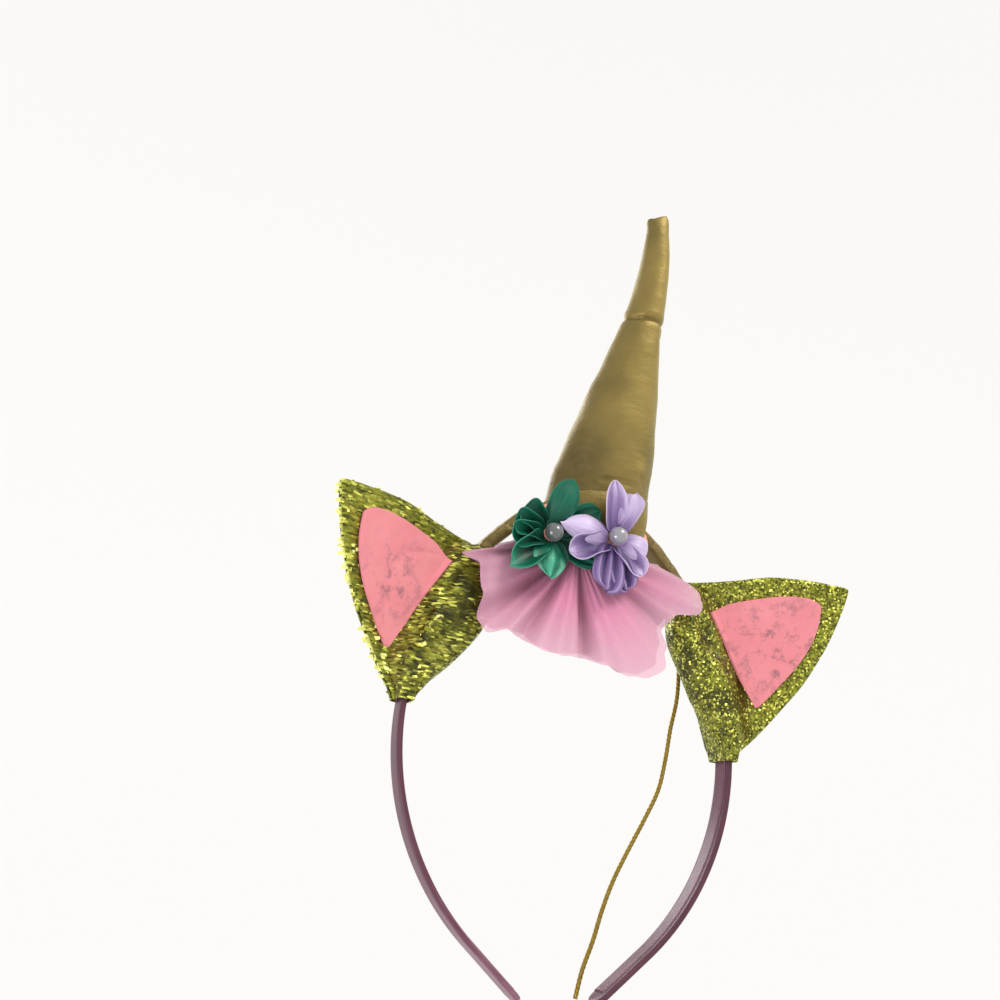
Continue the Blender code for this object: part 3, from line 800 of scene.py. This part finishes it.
def glitter_ground(name, flake, stretch):
    """Small flakes glued on cloth, with painted glints on the brightest, a brown painted shade down in the
    fold and painted shade in patches below it.
    """
    made, tree, shader = new_material(name, Metallic=0.6, Roughness=0.38)
    place = object_place(tree)
    cells = add_node(tree, "TexVoronoi", {"Vector": scaled(tree, place, stretch), "Scale": 1 / flake})
    cell = cells.outputs["Color"]
    pick = add_node(tree, "SeparateColor", {"Color": cell}).outputs
    round_it = add_node(tree, "SeparateXYZ", {"Vector": uv_place(tree)}).outputs["Y"]
    off = math_result(tree, "ABSOLUTE", math_result(tree, "SUBTRACT", round_it, fold_place))
    mottle = noise_field(tree, place, 0.003, 3.0)
    # Painted shade, brown and mottled, down in the ear's fold.
    painted_fold_shade = math_result(tree, "MULTIPLY", remapped(tree, off, 0.05, 0.0), mottle)
    # Painted shade in patches on the cloth below the fold.
    patchy = remapped(tree, noise_field(tree, place, 0.0065, 3.0), 0.44, 0.60, to_high=0.8)
    sunk = math_result(tree, "MULTIPLY", remapped(tree, round_it, 0.24, 0.33), patchy)
    green = mixed_colour(tree, remapped(tree, pick["Red"], 0.1, 0.95), "3B3C0A", "8F932B")
    brown = mixed_colour(tree, painted_fold_shade, green, "5A2608")
    deep = mixed_colour(tree, sunk, brown, "24220A")
    # The brightest cells are painted glints.
    shade = mixed_colour(tree, remapped(tree, pick["Green"], 0.78, 0.95), deep, "D9DC62")
    tree.links.new(shade, shader.inputs["Base Color"])
    own = add_node(tree, "NewGeometry", {}).outputs["Normal"]
    tilt = add_node(tree, "VectorMath", {0: cell, 1: (0.7, 0.7, 0.7), 2: (-0.35, -0.35, -0.35)},
                    operation="MULTIPLY_ADD")
    leaning = add_node(tree, "VectorMath", {0: own, 1: tilt.outputs[0]}, operation="ADD")
    turned_face = add_node(tree, "VectorMath", {0: leaning.outputs[0]}, operation="NORMALIZE")
    tree.links.new(turned_face.outputs[0], shader.inputs["Normal"])
    return made


ground_left = glitter_ground("glitter_cloth_streaked", 0.0007, (0.35, 0.6, 1.3))
ground_right = glitter_ground("glitter_cloth_fine", 0.0006, (1.0, 1.0, 1.0))

# Metallised polyester film, mirror-bright: its colour is painted from each chip's own number, from dull
# olive to a pale painted glint
chip_finish, tree, shader = new_material("metallised_film_chips", Metallic=0.15, Roughness=0.35)
painted_glint_value = own_value(tree, "painted_chip_brightness")
dull = mixed_colour(tree, remapped(tree, painted_glint_value, 0.0, 0.5), "4A4A0E", "A3A632")
flash = mixed_colour(tree, remapped(tree, painted_glint_value, 0.5, 1.0), dull, "FAFB9A")
tree.links.new(flash, shader.inputs["Base Color"])

# %% [markdown]
# ## Ears
# Each ear is one piece of glitter fabric folded in two over the band: its two leaves are glued
# together, and the fold sags loosely round the strip. So each ear is one grid. Its long side runs
# along the band. Its short side runs down the front leaf, over the crease, round under the band and
# up the back leaf. A table gives how far the leaf reaches at each place.

# %% Ear measures
EAR_SECTIONS = (
    # along, reach, slack
    (0.00, 0.085, 0.05), (0.05, 0.190, 0.16), (0.12, 0.390, 0.45), (0.17, 0.580, 0.70),
    (0.26, 0.820, 0.95), (0.33, 1.000, 1.00), (0.39, 0.925, 1.00), (0.47, 0.815, 0.95),
    (0.55, 0.700, 0.87), (0.63, 0.580, 0.76), (0.71, 0.450, 0.62), (0.79, 0.320, 0.44),
    (0.88, 0.190, 0.20), (0.95, 0.090, 0.05), (1.00, 0.050, 0.01),
)
ear_height = 0.055
ear_lean = math.radians(30)
ear_thick = 0.002
ear_wall = 0.0014
tip_wall = 0.0006
ear_valley = 0.0095
cloth_wall = 0.00055
EARS = {
    # side, start along the band, base, slack of the fold
    "left": (-1, 0.0455, 0.0545, 0.0125),
    "right": (1, 0.0440, 0.0610, 0.0080),
}


def leaf_place(reach, face, half=ear_thick / 2):
    """Place on a leaf as (out, back): face +1 in front and -1 behind."""
    return (reach * math.cos(ear_lean) - face * half * math.sin(ear_lean),
            0.002 - reach * math.sin(ear_lean) - face * half * math.cos(ear_lean))


def ear_line(reach, slack, crumple):
    """Points of the cloth at one place along the band, from the front leaf's edge to the back's."""
    inner, back = wrap_inner
    slim = slack / (slack + back)
    middle, low = back * (1 - 0.45 * slim), back * (1 - 0.85 * slim)
    shortest = inner + ear_wall
    full = min(max((reach - shortest) / ear_valley, 0), 1)
    wall = tip_wall + (ear_wall - tip_wall) * min(2 * full, 1)
    valley = shortest * 0.8 + (ear_valley - shortest * 0.8) * full
    top = max(reach, shortest)
    leaf = [valley + (top - valley) * share for share in (1, 0.93, 0.62, 0.3, 0)]
    halves = (0.00030, 0.0008, 0.001, 0.001, 0.001)
    line = [leaf_place(r, 1, h) for r, h in zip(leaf, halves)]
    line += [(inner + 0.7 * wall, -back - wall), (-inner + crumple, -back - wall - crumple),
             (-inner - 0.6 * slack - 0.5 * wall, -middle - wall + crumple),
             (-inner - slack - wall, -low - 0.4 * wall),
             (-inner - slack - wall, low + 0.4 * wall),
             (-inner - 0.6 * slack - 0.5 * wall, middle + wall - crumple),
             (-inner, back + wall), (inner + 0.7 * wall, back + wall)]
    line += [leaf_place(r, -1, h) for r, h in zip(reversed(leaf), reversed(halves))]
    return line


def on_line(points, share):
    """Point at a share of a smooth curve through (out, back) points."""
    spot = share * (len(points) - 1)
    i = min(int(spot), len(points) - 2)
    four = (points[max(i - 1, 0)], points[i], points[i + 1], points[min(i + 2, len(points) - 1)])
    return tuple(curve_between(*(point[k] for point in four), spot - i) for k in (0, 1))


def ear_surface(ear):
    """The function that places an ear's cloth."""
    side, start, base, slack = EARS[ear]

    def place(u, v):
        reach = ear_height * read_table(EAR_SECTIONS, u, 1)
        loose = slack * read_table(EAR_SECTIONS, u, 2)
        crumple = 0.0011 * math.sin(2 * math.pi * (1.7 * u + 0.2)) * math.sin(math.pi * u)
        out, back = on_line(ear_line(reach, loose, crumple), v)
        spot = beside_band(side * (start + base * u), out, back)
        fold = bump_at(v, 0.36, 0.12) * math.sin(math.pi * u)
        ripple = 0.0008 * fold * math.sin(2 * math.pi * (v * 9 + 1.3 * u))
        lump = 0.0010 * noise.noise(spot / 0.008) * math.sin(math.pi * v) ** 0.5
        return spot + Vector((0, ripple - lump, 0))

    return place


# %% [markdown]
# The chips are laid by chance, but from a fixed seed, so that each run gives the same ear. A spot is kept
# with a chance that grows with the cloth's area there, so they lie evenly. On the left ear the chips are
# long and all lie one way; on the right they are round. On both, chips along the rims and on the crest of
# the fold are more often given a painted glint, where the cloth turns to the light, and chips down in the
# fold get painted shade.

# %% Chips of film
probe = 0.004
widest_patch = 0.0052
handful_points = 1200
chip_thick = 0.00009
chip_lift = 0.0003
streak_way = Vector((0.93, -0.30, 0.16))


def lay_chips(name, ear, count, size, stretch, rim_flash, seed):
    """Scatter six-sided chips over an ear's cloth, as one mesh with a shade for each chip."""
    draw = random.Random(seed)
    surface = ear_surface(ear)
    mesh = bpy.data.meshes.new(name)
    everything = bmesh.new()
    laid = 0
    while laid < count:
        handful = bmesh.new()
        brightness_layer = handful.faces.layers.float.new("painted_chip_brightness")
        while laid < count and len(handful.verts) < handful_points:
            u, v = draw.uniform(0.01, 0.99), draw.uniform(0.004, 0.996)
            spot = surface(u, v)
            along = (surface(min(u + probe, 1), v) - surface(max(u - probe, 0), v)) / (2 * probe)
            round_it = (surface(u, min(v + probe, 1)) - surface(u, max(v - probe, 0))) / (2 * probe)
            normal = along.cross(round_it)
            if normal.length < draw.random() * widest_patch:
                continue
            normal = normal.normalized() * EARS[ear][0]
            # Painted light on the chips: along the rims and on the fold's crest more chips get a painted
            # glint, and down in the fold's valley their tone gets painted shade.
            edge = max(bump_at(v, 0.0, 0.13), bump_at(u, 0.33, 0.07) * (v < 0.16))
            crest = bump_at(v, 0.315, 0.022) * math.sin(math.pi * u)
            valley = bump_at(v, 0.25, 0.05)
            rest = 0.10 * (v < 0.2 or v > 0.8) + 0.03
            bright = draw.random() < rest + rim_flash * edge + 0.45 * crest
            tone = draw.uniform(0.78, 1.0) if bright else draw.uniform(0.0, 0.45) * (1 - 0.6 * valley)
            lean = Vector((draw.gauss(0, 1), draw.gauss(0, 1), draw.gauss(0, 1))) * 0.09
            normal = (normal + lean).normalized()
            if stretch > 1.5:
                ahead = streak_way + Vector((0, 0, draw.gauss(0, 0.08)))
            else:
                ahead = Vector((draw.gauss(0, 1), draw.gauss(0, 1), draw.gauss(0, 1)))
            ahead = (ahead - normal * ahead.dot(normal)).normalized()
            across = normal.cross(ahead)
            wide = size * draw.uniform(0.6, 1.25) / 2 * (1.5 if bright else 1.0)
            long = wide * (stretch * draw.uniform(0.6, 1.4) if stretch > 1.5 else 1.0)
            turned = Matrix((ahead * long, across * wide, normal)).transposed().to_4x4()
            matrix = Matrix.Translation(spot + normal * chip_lift) @ turned
            ring = bmesh.ops.create_cone(handful, cap_ends=True, cap_tris=False, segments=6, radius1=1.0,
                                         radius2=0.92, depth=chip_thick, matrix=matrix)["verts"]
            for face in {f for vertex in ring for f in vertex.link_faces}:
                face[brightness_layer] = tone
            laid += 1
        handful.to_mesh(mesh)
        handful.free()
        everything.from_mesh(mesh)
    everything.to_mesh(mesh)
    everything.free()
    mesh.materials.append(chip_finish)
    piece = bpy.data.objects.new(name, mesh)
    bpy.context.scene.collection.objects.link(piece)
    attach(piece, "root")
    print(name, "-", count, "chips,", len(mesh.polygons), "faces")
    return piece


# %% Ears
def make_ear(ear, ground):
    """The folded cloth of one ear."""
    builder = moved_grid(96, 64, ear_surface(ear))
    cloth = add_piece(f"ear_cloth_{ear}", builder, ground, wall=cloth_wall,
                      side=-1.0 * EARS[ear][0])
    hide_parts(f"ear_{ear}")
    return cloth


ear_cloth_left = make_ear("left", ground_left)
ear_cloth_right = make_ear("right", ground_right)
chips_left = lay_chips("ear_chips_left", "left", 4200, 0.0010, 3.0, 0.9, 11)
chips_right = lay_chips("ear_chips_right", "right", 2600, 0.0010, 1.0, 0.22, 23)

# %% [markdown]
# ## Felt
# Craft felt is matted acrylic fibre, with no weave: its surface is a fine tangle, it takes no
# shine at all, and these insides have grey smudges from handling. The tangle comes from stretched
# noise at fibre size, 0.25 mm, drawn at 0.5 mm, and the smudges from slow noise near one place.

# %% Felt finish
def matted_felt(name, main, pale, soil, centre, radius, amount):
    """Felt with a fibre tangle, and smudges round one place."""
    made, tree, shader = new_material(name, Roughness=0.95, Sheen_Weight=0.4, Sheen_Roughness=0.6)
    shader.inputs["Sheen Tint"].default_value = linear(pale)
    place = object_place(tree)
    base = mixed_colour(tree, noise_field(tree, place, 0.010, 2.0), main, pale)
    away = add_node(tree, "VectorMath", {0: place, 1: centre}, operation="DISTANCE").outputs["Value"]
    dust = noise_field(tree, place, 0.0042, 6.0, Roughness=0.75)
    marks = remapped(tree, dust, 0.50, 0.66, to_high=amount)
    soiled = math_result(tree, "MULTIPLY", remapped(tree, away, radius, 0.0), marks)
    tree.links.new(mixed_colour(tree, soiled, base, soil), shader.inputs["Base Color"])
    tangle = noise_field(tree, place, 0.0005, 4.0, Roughness=0.7, Distortion=1.5)
    tree.links.new(raised(tree, tangle, 0.5, 0.0003), shader.inputs["Normal"])
    return made


# %% [markdown]
# ## Felt insides
# A felt leaf is glued on the front of each ear. Its root bends up over the crease of the ear. The
# shape is a grid between an inner and an outer line, given a wall as thick as felt and one
# subdivision, which rounds its cut edge as scissors leave it.

# %% Felt insides
FELT_SECTIONS = (
    # along, inner, outer
    (0.00, 0.130, 0.340), (0.06, 0.130, 0.560), (0.13, 0.135, 0.770), (0.22, 0.140, 0.940),
    (0.30, 0.150, 1.000), (0.48, 0.175, 0.895), (0.65, 0.205, 0.740), (0.83, 0.245, 0.520),
    (1.00, 0.290, 0.315),
)
felt_thick = 0.0014
felt_length = 0.0325
felt_height = 0.044
felt_lift = 0.0006 + felt_thick / 2
FELT_INSET = {"left": 0.0100, "right": 0.0120}


def felt_place(ear, u, v):
    """A point of the felt's middle layer."""
    side, start = EARS[ear][:2]
    inner, outer = (felt_height * read_table(FELT_SECTIONS, u, k) for k in (1, 2))
    reach = inner + (outer - inner) * v
    out, back = leaf_place(reach, 1)
    if reach < ear_valley:
        ridge = (wrap_inner[0] + 0.7 * ear_wall, -wrap_inner[1] - ear_wall)
        low = leaf_place(ear_valley, 1)
        part = reach / ear_valley
        out, back = (ridge[k] + (low[k] - ridge[k]) * part for k in (0, 1))
    spot = beside_band(side * (start + FELT_INSET[ear] + felt_length * u),
                       out - felt_lift * math.sin(ear_lean), back - felt_lift * math.cos(ear_lean))
    dent = 0.0007 * bump_at(v - 0.35 * u, 0.36, 0.05) * math.sin(math.pi * u) if ear == "left" else 0.0
    return spot + Vector((0, dent + 0.00018 * noise.noise(spot / 0.004), 0))


def make_felt(ear, soil_at, radius, amount):
    """One felt inside, with its own smudges."""
    finish = matted_felt(f"pink_craft_felt_{ear}", "CE777E", "DB8A91", "6E535C", felt_place(ear, *soil_at),
                         radius, amount)
    builder = moved_grid(40, 36, lambda u, v: felt_place(ear, u, v))
    felt = add_piece(f"felt_inside_{ear}", builder, finish, wall=felt_thick, side=0.0)
    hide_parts(f"ear_felt_{ear}")


make_felt("left", (0.55, 0.45), 0.020, 0.9)
make_felt("right", (0.5, 0.5), 0.030, 1.0)

# %% [markdown]
# ## Flower backing
# A strip of salmon felt lies in front of the crown, and everything in front is sewn and glued to
# it. It is curved like the crown and has round ends. Only a small patch shows beside the lilac
# flower, but it shows from above and behind too.

# %% Flower backing
backing_depth = 0.017
backing_middle = BENDS[0][0] + band_thick / 2 - backing_depth / 2
backing_sweep = math.radians(80)
backing_face = 0.0071
backing_thick = 0.0015


def backing_place(u, v):
    """A point of the felt strip's middle layer."""
    angle = backing_sweep * (u - 0.5)
    from_end = min(u, 1 - u) * backing_sweep * backing_middle / (backing_depth / 2)
    narrow = math.sqrt(max(1 - (1 - min(from_end, 1)) ** 2, 0.03))
    radius = backing_middle + backing_depth * (v - 0.5) * narrow
    middle_y = -backing_face + backing_thick / 2
    return CROWN + Vector((math.sin(angle) * radius, middle_y, math.cos(angle) * radius))


backing_felt = matted_felt("salmon_craft_felt", "E59A8C", "F2B2A2", "A06A60", (0.0, -0.007, -0.008),
                           0.03, 0.3)
builder = moved_grid(60, 12, backing_place)
backing = add_piece("felt_backing", builder, backing_felt, wall=backing_thick, side=0.0)
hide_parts("flower_backing")

# %% [markdown]
# ## Tulle ruffle
# Soft tulle is a fine net of nylon. One layer is nearly clear, but a gathered strip lies in many layers, so
# it looks like pink mist: solid where it is folded and thin at the hem. It gets a sheer finish, paler and
# thinner toward the hem, with painted shade in its fold valleys, near its gathers and at its left end. The
# net has holes of 0.8 mm, which is close to what the picture can show, so it is drawn at its real size.

# %% Tulle finish
def sheer_tulle(name, deep, main, pale, thin, radial):
    """Nylon net: its colour is painted with the piece's `lit` light and shade, and it is paler and thinner
    toward its hem.
    """
    made, tree, shader = new_material(name, Roughness=0.7, Sheen_Weight=0.4, Sheen_Roughness=0.5)
    shader.inputs["Sheen Tint"].default_value = linear(pale)
    uv = uv_place(tree)
    hemward = remapped(tree, add_node(tree, "SeparateXYZ", {"Vector": uv}).outputs["Y"], 0.5, 1.0)
    streaks = noise_field(tree, scaled(tree, uv, (radial, 1.2, 1.0)), 1.0, 2.0)
    light = math_result(tree, "ADD", own_value(tree, "lit"), remapped(tree, streaks, 0.3, 0.7, -0.10, 0.10))
    body = mixed_colour(tree, light, deep, main)
    shade = mixed_colour(tree, math_result(tree, "MULTIPLY", hemward, light), body, pale)
    tree.links.new(shade, shader.inputs["Base Color"])
    net = add_node(tree, "TexVoronoi", {"Vector": object_place(tree), "Scale": 1 / 0.0008},
                   feature="DISTANCE_TO_EDGE").outputs["Distance"]
    opening = remapped(tree, hemward, 0.0, 1.0, 0.98, 0.82)
    clear = math_result(tree, "MULTIPLY", remapped(tree, net, 0.0, 0.16, 1.0, thin), opening)
    tree.links.new(clear, shader.inputs["Alpha"])
    tree.links.new(raised(tree, net, 0.12, 0.0002), shader.inputs["Normal"])
    return made


front_tulle = sheer_tulle("pink_nylon_tulle", "6E3A4E", "CB7F9F", "CBA0B2", 0.90, 9.0)
back_tulle = sheer_tulle("pink_tulle_underlay", "68364A", "BE7594", "C398AB", 0.94, 7.0)

# %% [markdown]
# The hem was read off the photograph: at each direction from the gathered middle, how far the cloth
# reaches and how far its fold comes forward. Small gathers run out from the stitching and fade
# toward the hem. A second layer lies behind the first, shallower and shorter, as a folded strip has.

# %% Ruffle
HEM = (
    # degrees, reach, forward
    (184, 0.50, 0.10), (190, 0.64, 0.12), (193, 0.88, 0.20), (200, 0.81, 0.70), (212, 0.84, 0.55),
    (222, 0.93, 0.00), (227, 0.95, 0.30), (233, 0.85, 0.60), (241, 0.79, 0.00), (249, 0.82, 0.65),
    (257, 0.82, 1.00), (265, 0.79, 0.80), (275, 0.76, 0.05), (284, 0.83, 0.70), (292, 0.93, 0.95),
    (300, 0.98, 1.00), (308, 0.99, 0.85), (317, 0.91, 0.45), (326, 0.82, 0.00), (334, 0.83, 0.25),
    (342, 0.99, 0.45), (350, 0.98, 0.20), (360, 0.62, 0.10),
)
ruffle_middle = Vector((-0.005, 0, -0.0145))
ruffle_reach = 0.0475
ruffle_root = 0.002
ruffle_depth = 0.009
ruffle_face = 0.0079
gather_height = 0.00025
TULLES = {
    # depth of its folds and reach as shares, how far behind the front it lies, finish, flat size
    "tulle_front": (1.0, 1.0, 0.0, front_tulle, (0.108, 0.036)),
    "tulle_back": (0.45, 0.955, 0.0004, back_tulle, (0.098, 0.035)),
}


def read_softly(table, value, column):
    """Read a table with a smooth step between its rows."""
    for lower, upper in zip(table, table[1:]):
        if value <= upper[0]:
            t = (value - lower[0]) / (upper[0] - lower[0])
            return lower[column] + (upper[column] - lower[column]) * t * t * (3 - 2 * t)
    return table[-1][column]


def ruffle_place(u, v, depth, reach_share, set_back, seed):
    """A point of a tulle layer: u runs round the hem and v from the gathers to it."""
    degrees = HEM[0][0] + (HEM[-1][0] - HEM[0][0]) * u
    angle = math.radians(degrees)
    outward = Vector((math.cos(angle), 0, math.sin(angle)))
    reach = ruffle_reach * read_softly(HEM, degrees, 1) * reach_share
    fold = ruffle_depth * read_softly(HEM, degrees, 2) * depth
    turns = u * 14 + 1.6 * noise.noise(Vector((u * 6, v * 0.8, seed)))
    gather = gather_height * math.sin(math.pi * min(v * 1.4, 1)) * math.sin(2 * math.pi * turns)
    flutter = 0.0009 * v ** 3 * noise.noise(Vector((u * 30, seed, 3.1)))
    forward = ruffle_face - set_back + fold * v ** 0.85 + gather * (1 - 0.55 * v) + flutter
    return ruffle_middle + outward * (ruffle_root + (reach - ruffle_root) * v) + FRONT * forward


def ruffle_painted_light(u, v):
    """Painted light on the tulle: painted shade in its valleys, near its gathers and at its left end."""
    degrees = HEM[0][0] + (HEM[-1][0] - HEM[0][0]) * u
    fold = read_softly(HEM, degrees, 2)
    left = bump_at(degrees, 184, 32) * (1 - 0.45 * v)
    valley = (1 - fold) ** 2 * (0.15 + 0.45 * math.sin(math.pi * min(v + 0.10, 1)))
    return 0.95 - valley - 0.85 * left - 0.30 * bump_at(v, 0.0, 0.22)


for name, (depth, reach_share, set_back, finish, cut) in TULLES.items():
    builder = moved_grid(260, 26, lambda u, v: ruffle_place(u, v, depth, reach_share, set_back, depth * 7),
                         lit=ruffle_painted_light)
    tulle = add_piece(name, builder, finish, levels=0)
    if name == "tulle_front":
        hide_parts("tulle_ruffle")
    print(name, "cloth in square cm:", round(cut_area(tulle) * 10000, 1))

# %% [markdown]
# ## Ribbon flowers
# Each petal is a short piece of satin ribbon, folded, pinched and melted together at its root. Some are
# rolled up like a boat, whose two rims get a painted highlight and whose hollow gets painted shade, some are
# puffed toward the viewer, and some are pleated, with painted shade between the pleats. One function makes
# them all from a row of numbers. A ribbon keeps its width when it is rolled, so the roll bends it round an
# arc of that length.

# %% Petal shapes
petal_wall = 0.0003
petal_root = 0.0022
PETAL_COLUMNS = ("degrees", "length", "width", "stand", "lift", "roll", "belly", "tip", "pleat", "pleats",
                 "skew", "curl", "sway", "tone")
# Lengths are in millimetres: length, flat width, how far it stands before the flower's base, pleat,
# curl of the tip and sway. The roll is in degrees to each side: up is a boat, down is puffed.
# The last column, tone, is each petal's painted light level: painted shade where it is low, painted
# highlight where it is high.
TEAL_PETALS = {
    "upper_right": (33, 20.5, 11.0, 0.0, 8, 60, 0.60, 1.9, 0.20, 3, 0.00, 0.0, 0.6, 0.42),
    "lower_right": (338, 18.5, 11.0, 0.1, 7, 55, 0.60, 1.8, 0.35, 3, 0.00, 0.3, 0.0, 0.70),
    "top": (77, 18.6, 11.6, 1.1, 20, -55, 0.56, 1.8, 0.00, 1, 0.00, 0.5, 0.0, 0.42),
    "upper_left": (152, 12.6, 13.0, 0.2, 19, 85, 0.66, 2.8, 0.00, 1, 0.00, 0.3, 0.0, 0.34),
    "left": (176, 14.0, 12.0, 0.9, 17, 85, 0.66, 2.8, 0.00, 1, 0.00, 0.3, 0.0, 0.40),
    "left_low": (196, 15.0, 11.5, 1.5, 15, 80, 0.66, 2.6, 0.00, 1, 0.00, 0.2, 0.0, 0.48),
    "fold": (288, 11.5, 9.0, 0.6, 14, 70, 0.60, 1.8, 0.30, 3, 0.00, 0.0, 0.0, 0.26),
    "lower_left": (225, 20.0, 15.0, 1.7, 13, 100, 0.56, 1.45, 0.00, 1, 0.06, 0.5, -0.8, 0.66),
    "bottom": (264, 15.8, 12.5, 1.3, 18, -40, 0.55, 1.25, 0.40, 2, 0.04, 0.8, 0.3, 0.86),
}
LILAC_PETALS = {
    "top_right": (72, 16.6, 11.5, 0.5, 17, -50, 0.72, 3.2, 0.15, 2, -0.05, 0.0, 0.0, 0.88),
    "top": (100, 18.4, 9.0, 1.2, 20, 45, 0.55, 1.6, 0.35, 2, 0.00, 0.0, 0.6, 1.00),
    "right_up": (344, 12.0, 10.5, 1.0, 14, -45, 0.62, 2.6, 0.00, 1, 0.00, 0.0, 0.0, 0.95),
    "left": (207, 19.8, 13.0, 0.6, 14, 105, 0.64, 1.9, 0.25, 2, 0.00, 0.4, 0.0, 0.86),
    "bottom_right": (281, 18.4, 12.5, 0.4, 14, 30, 0.62, 2.4, 1.10, 3, -0.05, 0.3, 0.0, 0.56),
    "bottom_left": (257, 20.2, 12.5, 1.2, 16, 30, 0.62, 2.4, 1.15, 3, 0.05, 0.3, 0.0, 0.60),
    "right": (309, 15.2, 10.5, 1.0, 13, 85, 0.66, 1.7, 0.30, 2, 0.00, 0.6, 0.0, 1.00),
    "upper_left": (176, 19.8, 12.0, 1.9, 7, -62, 0.52, 1.3, 0.00, 1, 0.05, -0.3, 0.0, 1.04),
}
IN_MILLIMETRES = ("length", "width", "stand", "pleat", "curl", "sway")
# Centre x and z of each flower, distance of its base in front of the band, and its petals
FLOWERS = {
    "teal": ((-0.0169, -0.0127), 0.0090, TEAL_PETALS),
    "lilac": ((0.0057, -0.0098), 0.0100, LILAC_PETALS),
}
# The fourth number is the strength of the painted highlight on the petals' edges.
SATINS = {
    "teal": woven_satin("teal_satin_ribbon", "00291D", "07604A", "57B897", 0.5, 0.02, 0.012, 0.0012, 0.42),
    "lilac": woven_satin("lilac_satin_ribbon", "3F2D63", "85709F", "C6B7D8", 0.8, 0.02, 0.012, 0.0012, 0.42),
}


def petal_width(u, belly, tip):
    """Share of the full width at share u of the length: widest at the belly, blunt or pointed."""
    if u < belly:
        return 0.30 + 0.70 * math.sqrt(max(1 - (1 - u / belly) ** 2, 0))
    return max(1 - ((u - belly) / (1 - belly)) ** tip, 0) ** (1 / max(tip, 1.5))


def petal_place(u, v, shape):
    """A point of a petal: u from root to tip, and v across the ribbon."""
    side = 2 * v - 1
    reach = petal_root + (shape["length"] * (1 + shape["skew"] * side * u ** 2) - petal_root) * u
    half = shape["width"] / 2 * max(petal_width(u, shape["belly"], shape["tip"]), 0.04)
    roll = math.radians(shape["roll"]) * (0.45 + 0.55 * math.sin(math.pi * min(u ** 0.9, 1)))
    across = half * math.sin(roll * side) / roll
    rise = half * (1 - math.cos(roll * side)) / roll
    if roll < 0:
        rise -= half * (1 - math.cos(roll)) / roll * math.sin(math.pi * min(u, 1)) ** 0.6
    rise += shape["pleat"] * math.cos(math.pi * shape["pleats"] * side) * min(u * 2, 1)
    rise += shape["stand"] + reach * math.tan(math.radians(shape["lift"])) + shape["curl"] * u ** 4
    return (shape["centre"] + shape["outward"] * reach + shape["across"] * (across + shape["sway"] * u ** 2)
            + FRONT * rise)


def petal_painted_light(u, v, shape):
    """Painted light on a petal: painted shade at its root, in a boat's hollow and between pleats, scaled by
    the petal's tone, which is its painted light level.
    """
    side = abs(2 * v - 1)
    hollow = (1 - side ** 1.5) * max(shape["roll"], 0) / 100 * math.sin(math.pi * min(u + 0.1, 1))
    between = 0.5 - 0.5 * math.cos(math.pi * shape["pleats"] * side) if shape["pleat"] else 0.0
    root = bump_at(u, 0.0, 0.35)
    folds = 0.6 * between * min(shape["pleat"] / 0.0008, 1)
    return shape["tone"] * max(1 - 1.0 * hollow - folds - 0.5 * root, 0.05)


# %% Flowers
for flower, (centre, base, petals) in FLOWERS.items():
    for petal, row in petals.items():
        shape = dict(zip(PETAL_COLUMNS, row))
        for name in IN_MILLIMETRES:
            shape[name] /= 1000
        angle = math.radians(shape["degrees"])
        shape["centre"] = Vector((centre[0], -base, centre[1]))
        shape["outward"] = Vector((math.cos(angle), 0, math.sin(angle)))
        shape["across"] = Vector((-math.sin(angle), 0, math.cos(angle)))
        builder = moved_grid(28, 24, lambda u, v: petal_place(u, v, shape),
                             lit=lambda u, v: petal_painted_light(u, v, shape))
        ribbon = add_piece(f"{flower}_ribbon_{petal}", builder, SATINS[flower],
                           wall=petal_wall, side=0.0)
        if f"{flower}_petal_{petal}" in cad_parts:
            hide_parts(f"{flower}_petal_{petal}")

# %% [markdown]
# ## Pearls
# The pearls are acrylic beads under a nacre lacquer. They are glossy and slightly soft in colour,
# and each is sewn on through its hole. A sphere is right for the bead, but a bead also has its
# drilled hole, so a dimple is pressed in where the thread passes.

# %% Pearls
def nacre_lacquer(name, main, warm, cool):
    """Acrylic bead with pearl lacquer: a soft two-tone body under a hard gloss."""
    made, tree, shader = new_material(name, Roughness=0.22, Coat_Weight=0.8, Coat_Roughness=0.06,
                                      Sheen_Weight=0.3, Metallic=0.15)
    swirl = noise_field(tree, object_place(tree), 0.0022, 2.0, Distortion=1.0)
    body = mixed_colour(tree, swirl, warm, cool)
    tree.links.new(mixed_colour(tree, 0.5, body, main), shader.inputs["Base Color"])
    return made


grey_nacre = nacre_lacquer("grey_nacre_bead", "54595B", "5E565C", "465854")
white_nacre = nacre_lacquer("white_nacre_bead", "85828B", "918891", "7C8290")
pearl_radius = 0.003
hole_radius = 0.00035
hole_turn = Matrix.Rotation(math.radians(62), 3, "Y")
for flower, nacre in (("teal", grey_nacre), ("lilac", white_nacre)):
    low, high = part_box(f"{flower}_pearl")
    heart = (low + high) / 2
    builder = bmesh.new()
    bmesh.ops.create_uvsphere(builder, u_segments=48, v_segments=32, radius=pearl_radius)
    for vertex in builder.verts:
        off_axis = math.hypot(vertex.co.x, vertex.co.y)
        vertex.co *= 1 - 0.10 * bump_at(off_axis, 0, hole_radius)
    bmesh.ops.rotate(builder, verts=builder.verts, cent=(0, 0, 0), matrix=hole_turn)
    bmesh.ops.translate(builder, verts=builder.verts, vec=heart)
    pearl = add_piece(f"{flower}_bead", builder, nacre, levels=0)
    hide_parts(f"{flower}_pearl")
